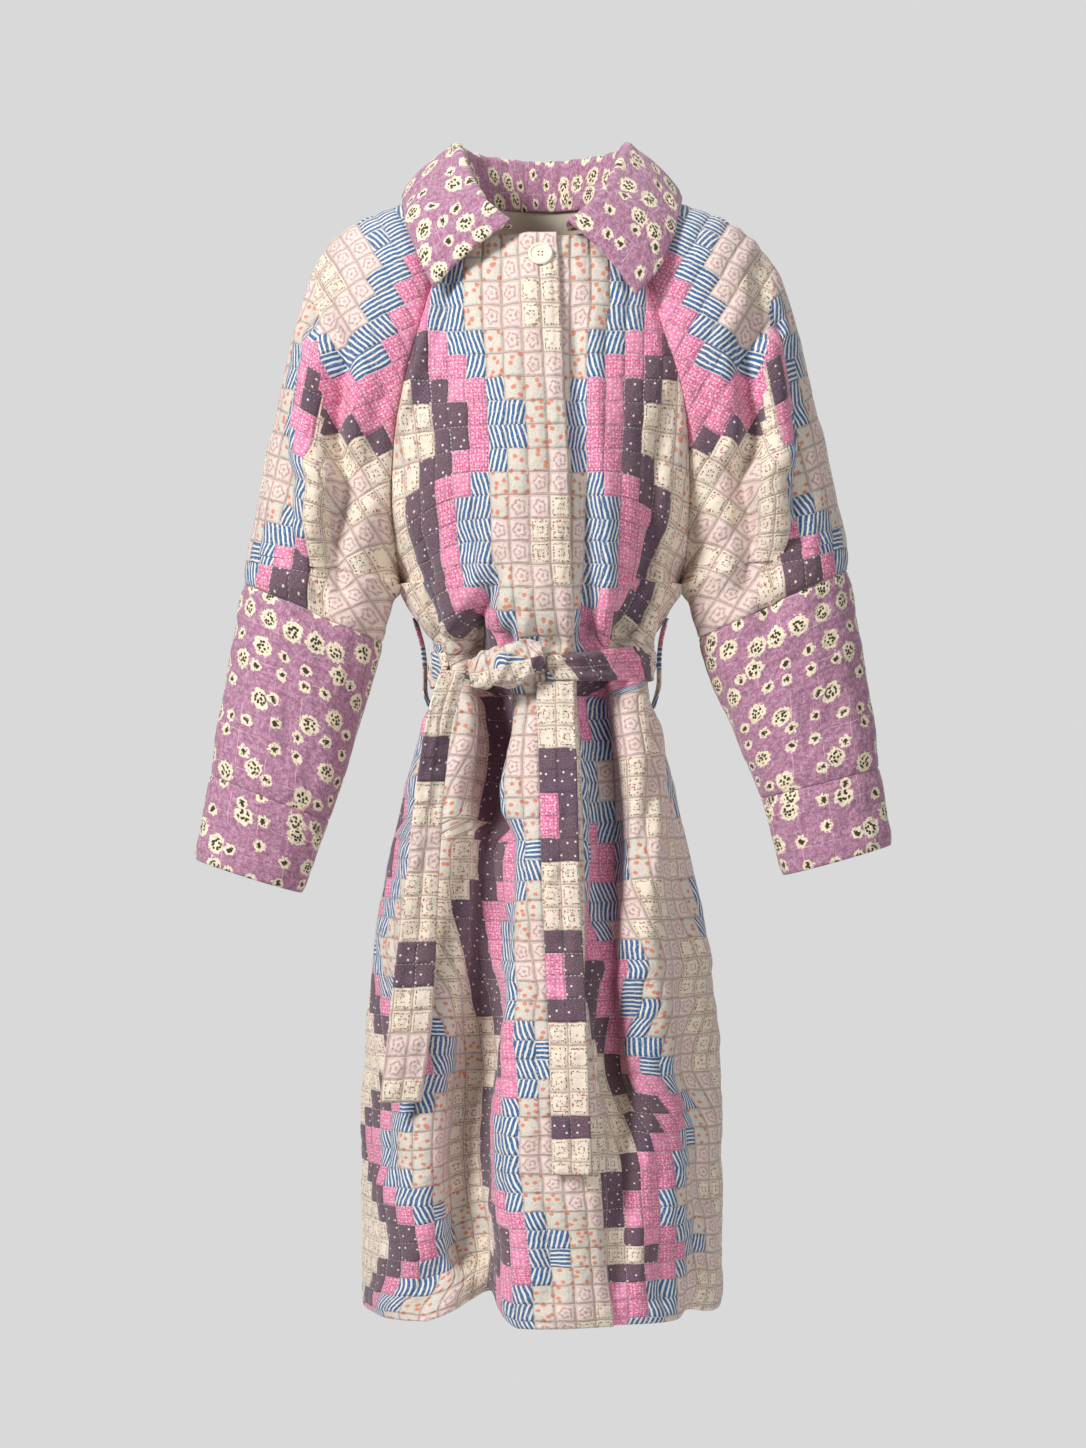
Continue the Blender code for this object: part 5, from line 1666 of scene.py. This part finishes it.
dress_knot()
for hand, way in (("right", -1.0), ("left", 1.0)):
    ends = [BODY.read(hand, row) + WALL + LOOP_CLEAR for row in LOOP_ROWS]
    heights = [BODY.read("z_front", row) for row in LOOP_ROWS]
    over = abs(belt_line("back", [way])[0, 0]) + BELT_WALL + BELT_PUFF + SEAM_GAP
    middle, half = BELT_RING.read("z", way), BELT_RING.read("half", way)
    over += LOOP_HALF * LOOP_TURN
    reach = np.array([ends[0], over + 0.0015, over, over, ends[1]])
    height = np.array([heights[0], middle + half, middle, middle - half, heights[1]])
    centre = denser(np.stack([way * reach, 0 * reach, height], axis=1), 91)
    across = np.array([[-way * LOOP_TURN, 1.0, 0]] * len(centre))
    down = unit(np.gradient(centre, axis=0))
    out = np.cross(across, down)
    out = out * np.where(out[:, 0] * way < 0, -1, 1)[:, None]
    name = f"belt_loop_{hand}"
    strip(name, centre, across, LOOP_HALF, out, loop_cloth, thick=LOOP_WALL, columns=0.0012)


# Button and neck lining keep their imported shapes
for node, look in (("button", resin("button_resin")), ("neck_lining", lining("neck_cotton", mapped=False))):
    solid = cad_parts[node]
    solid.data.materials.clear()
    solid.data.materials.append(look)

# Floor, sky, lights and camera
FLOOR_DEPTH = -1.6
FLOOR_RADIUS = 1.3
CENTRE_HEIGHT = -0.535
VIEW_TALL = 1.491
VIEW_DISTANCE = 4.3
at = (0, 0, FLOOR_DEPTH)
bpy.ops.mesh.primitive_circle_add(vertices=96, radius=FLOOR_RADIUS, fill_type="NGON", location=at)
floor = bpy.context.object
floor.name = "studio_floor"
floor.data.materials.append(plain("studio_paper", srgb(214, 214, 214)))

world = bpy.data.worlds.new("studio")
world.use_nodes = True
backing = world.node_tree.nodes["Background"]
backing.inputs["Color"].default_value = srgb(217, 217, 217)
backing.inputs["Strength"].default_value = 1.0
dimmer = world.node_tree.nodes.new("ShaderNodeBackground")
dimmer.inputs["Color"].default_value = srgb(235, 238, 242)
dimmer.inputs["Strength"].default_value = 0.12
path = world.node_tree.nodes.new("ShaderNodeLightPath")
chooser = world.node_tree.nodes.new("ShaderNodeMixShader")
links = world.node_tree.links
links.new(path.outputs["Is Camera Ray"], chooser.inputs[0])
links.new(dimmer.outputs[0], chooser.inputs[1])
links.new(backing.outputs[0], chooser.inputs[2])
links.new(chooser.outputs[0], world.node_tree.nodes["World Output"].inputs["Surface"])
bpy.context.scene.world = world
bpy.context.scene.view_settings.view_transform = "Standard"

# Lights: name, place, size and power in watts
LIGHTS = (
    ("key", (-2.6, -2.5, 1.7), 1.0, 205.0),
    ("fill", (2.0, -3.2, -0.1), 2.2, 58.0),
    ("top", (0.2, 0.6, 2.4), 2.0, 20.0),
    ("rear", (1.5, 3.2, 0.8), 2.4, 40.0),
)
for name, place, size, power in LIGHTS:
    lamp = bpy.data.lights.new(name, "AREA")
    lamp.size = size
    lamp.energy = power
    holder = bpy.data.objects.new(name, lamp)
    holder.location = place
    aim = np.array([0, 0, CENTRE_HEIGHT]) - np.array(place)
    holder.rotation_euler = (
        math.atan2(math.hypot(aim[0], aim[1]), -aim[2]),
        0.0,
        math.atan2(aim[1], aim[0]) - math.pi / 2,
    )
    bpy.context.scene.collection.objects.link(holder)

lens = bpy.data.cameras.new("camera")
lens.sensor_fit = "VERTICAL"
lens.sensor_height = 36.0
lens.lens = VIEW_DISTANCE * lens.sensor_height / VIEW_TALL
camera = bpy.data.objects.new("camera", lens)
camera.location = (0.0, -VIEW_DISTANCE, CENTRE_HEIGHT)
camera.rotation_euler = (math.pi / 2, 0, 0)
bpy.context.scene.collection.objects.link(camera)
bpy.context.scene.camera = camera
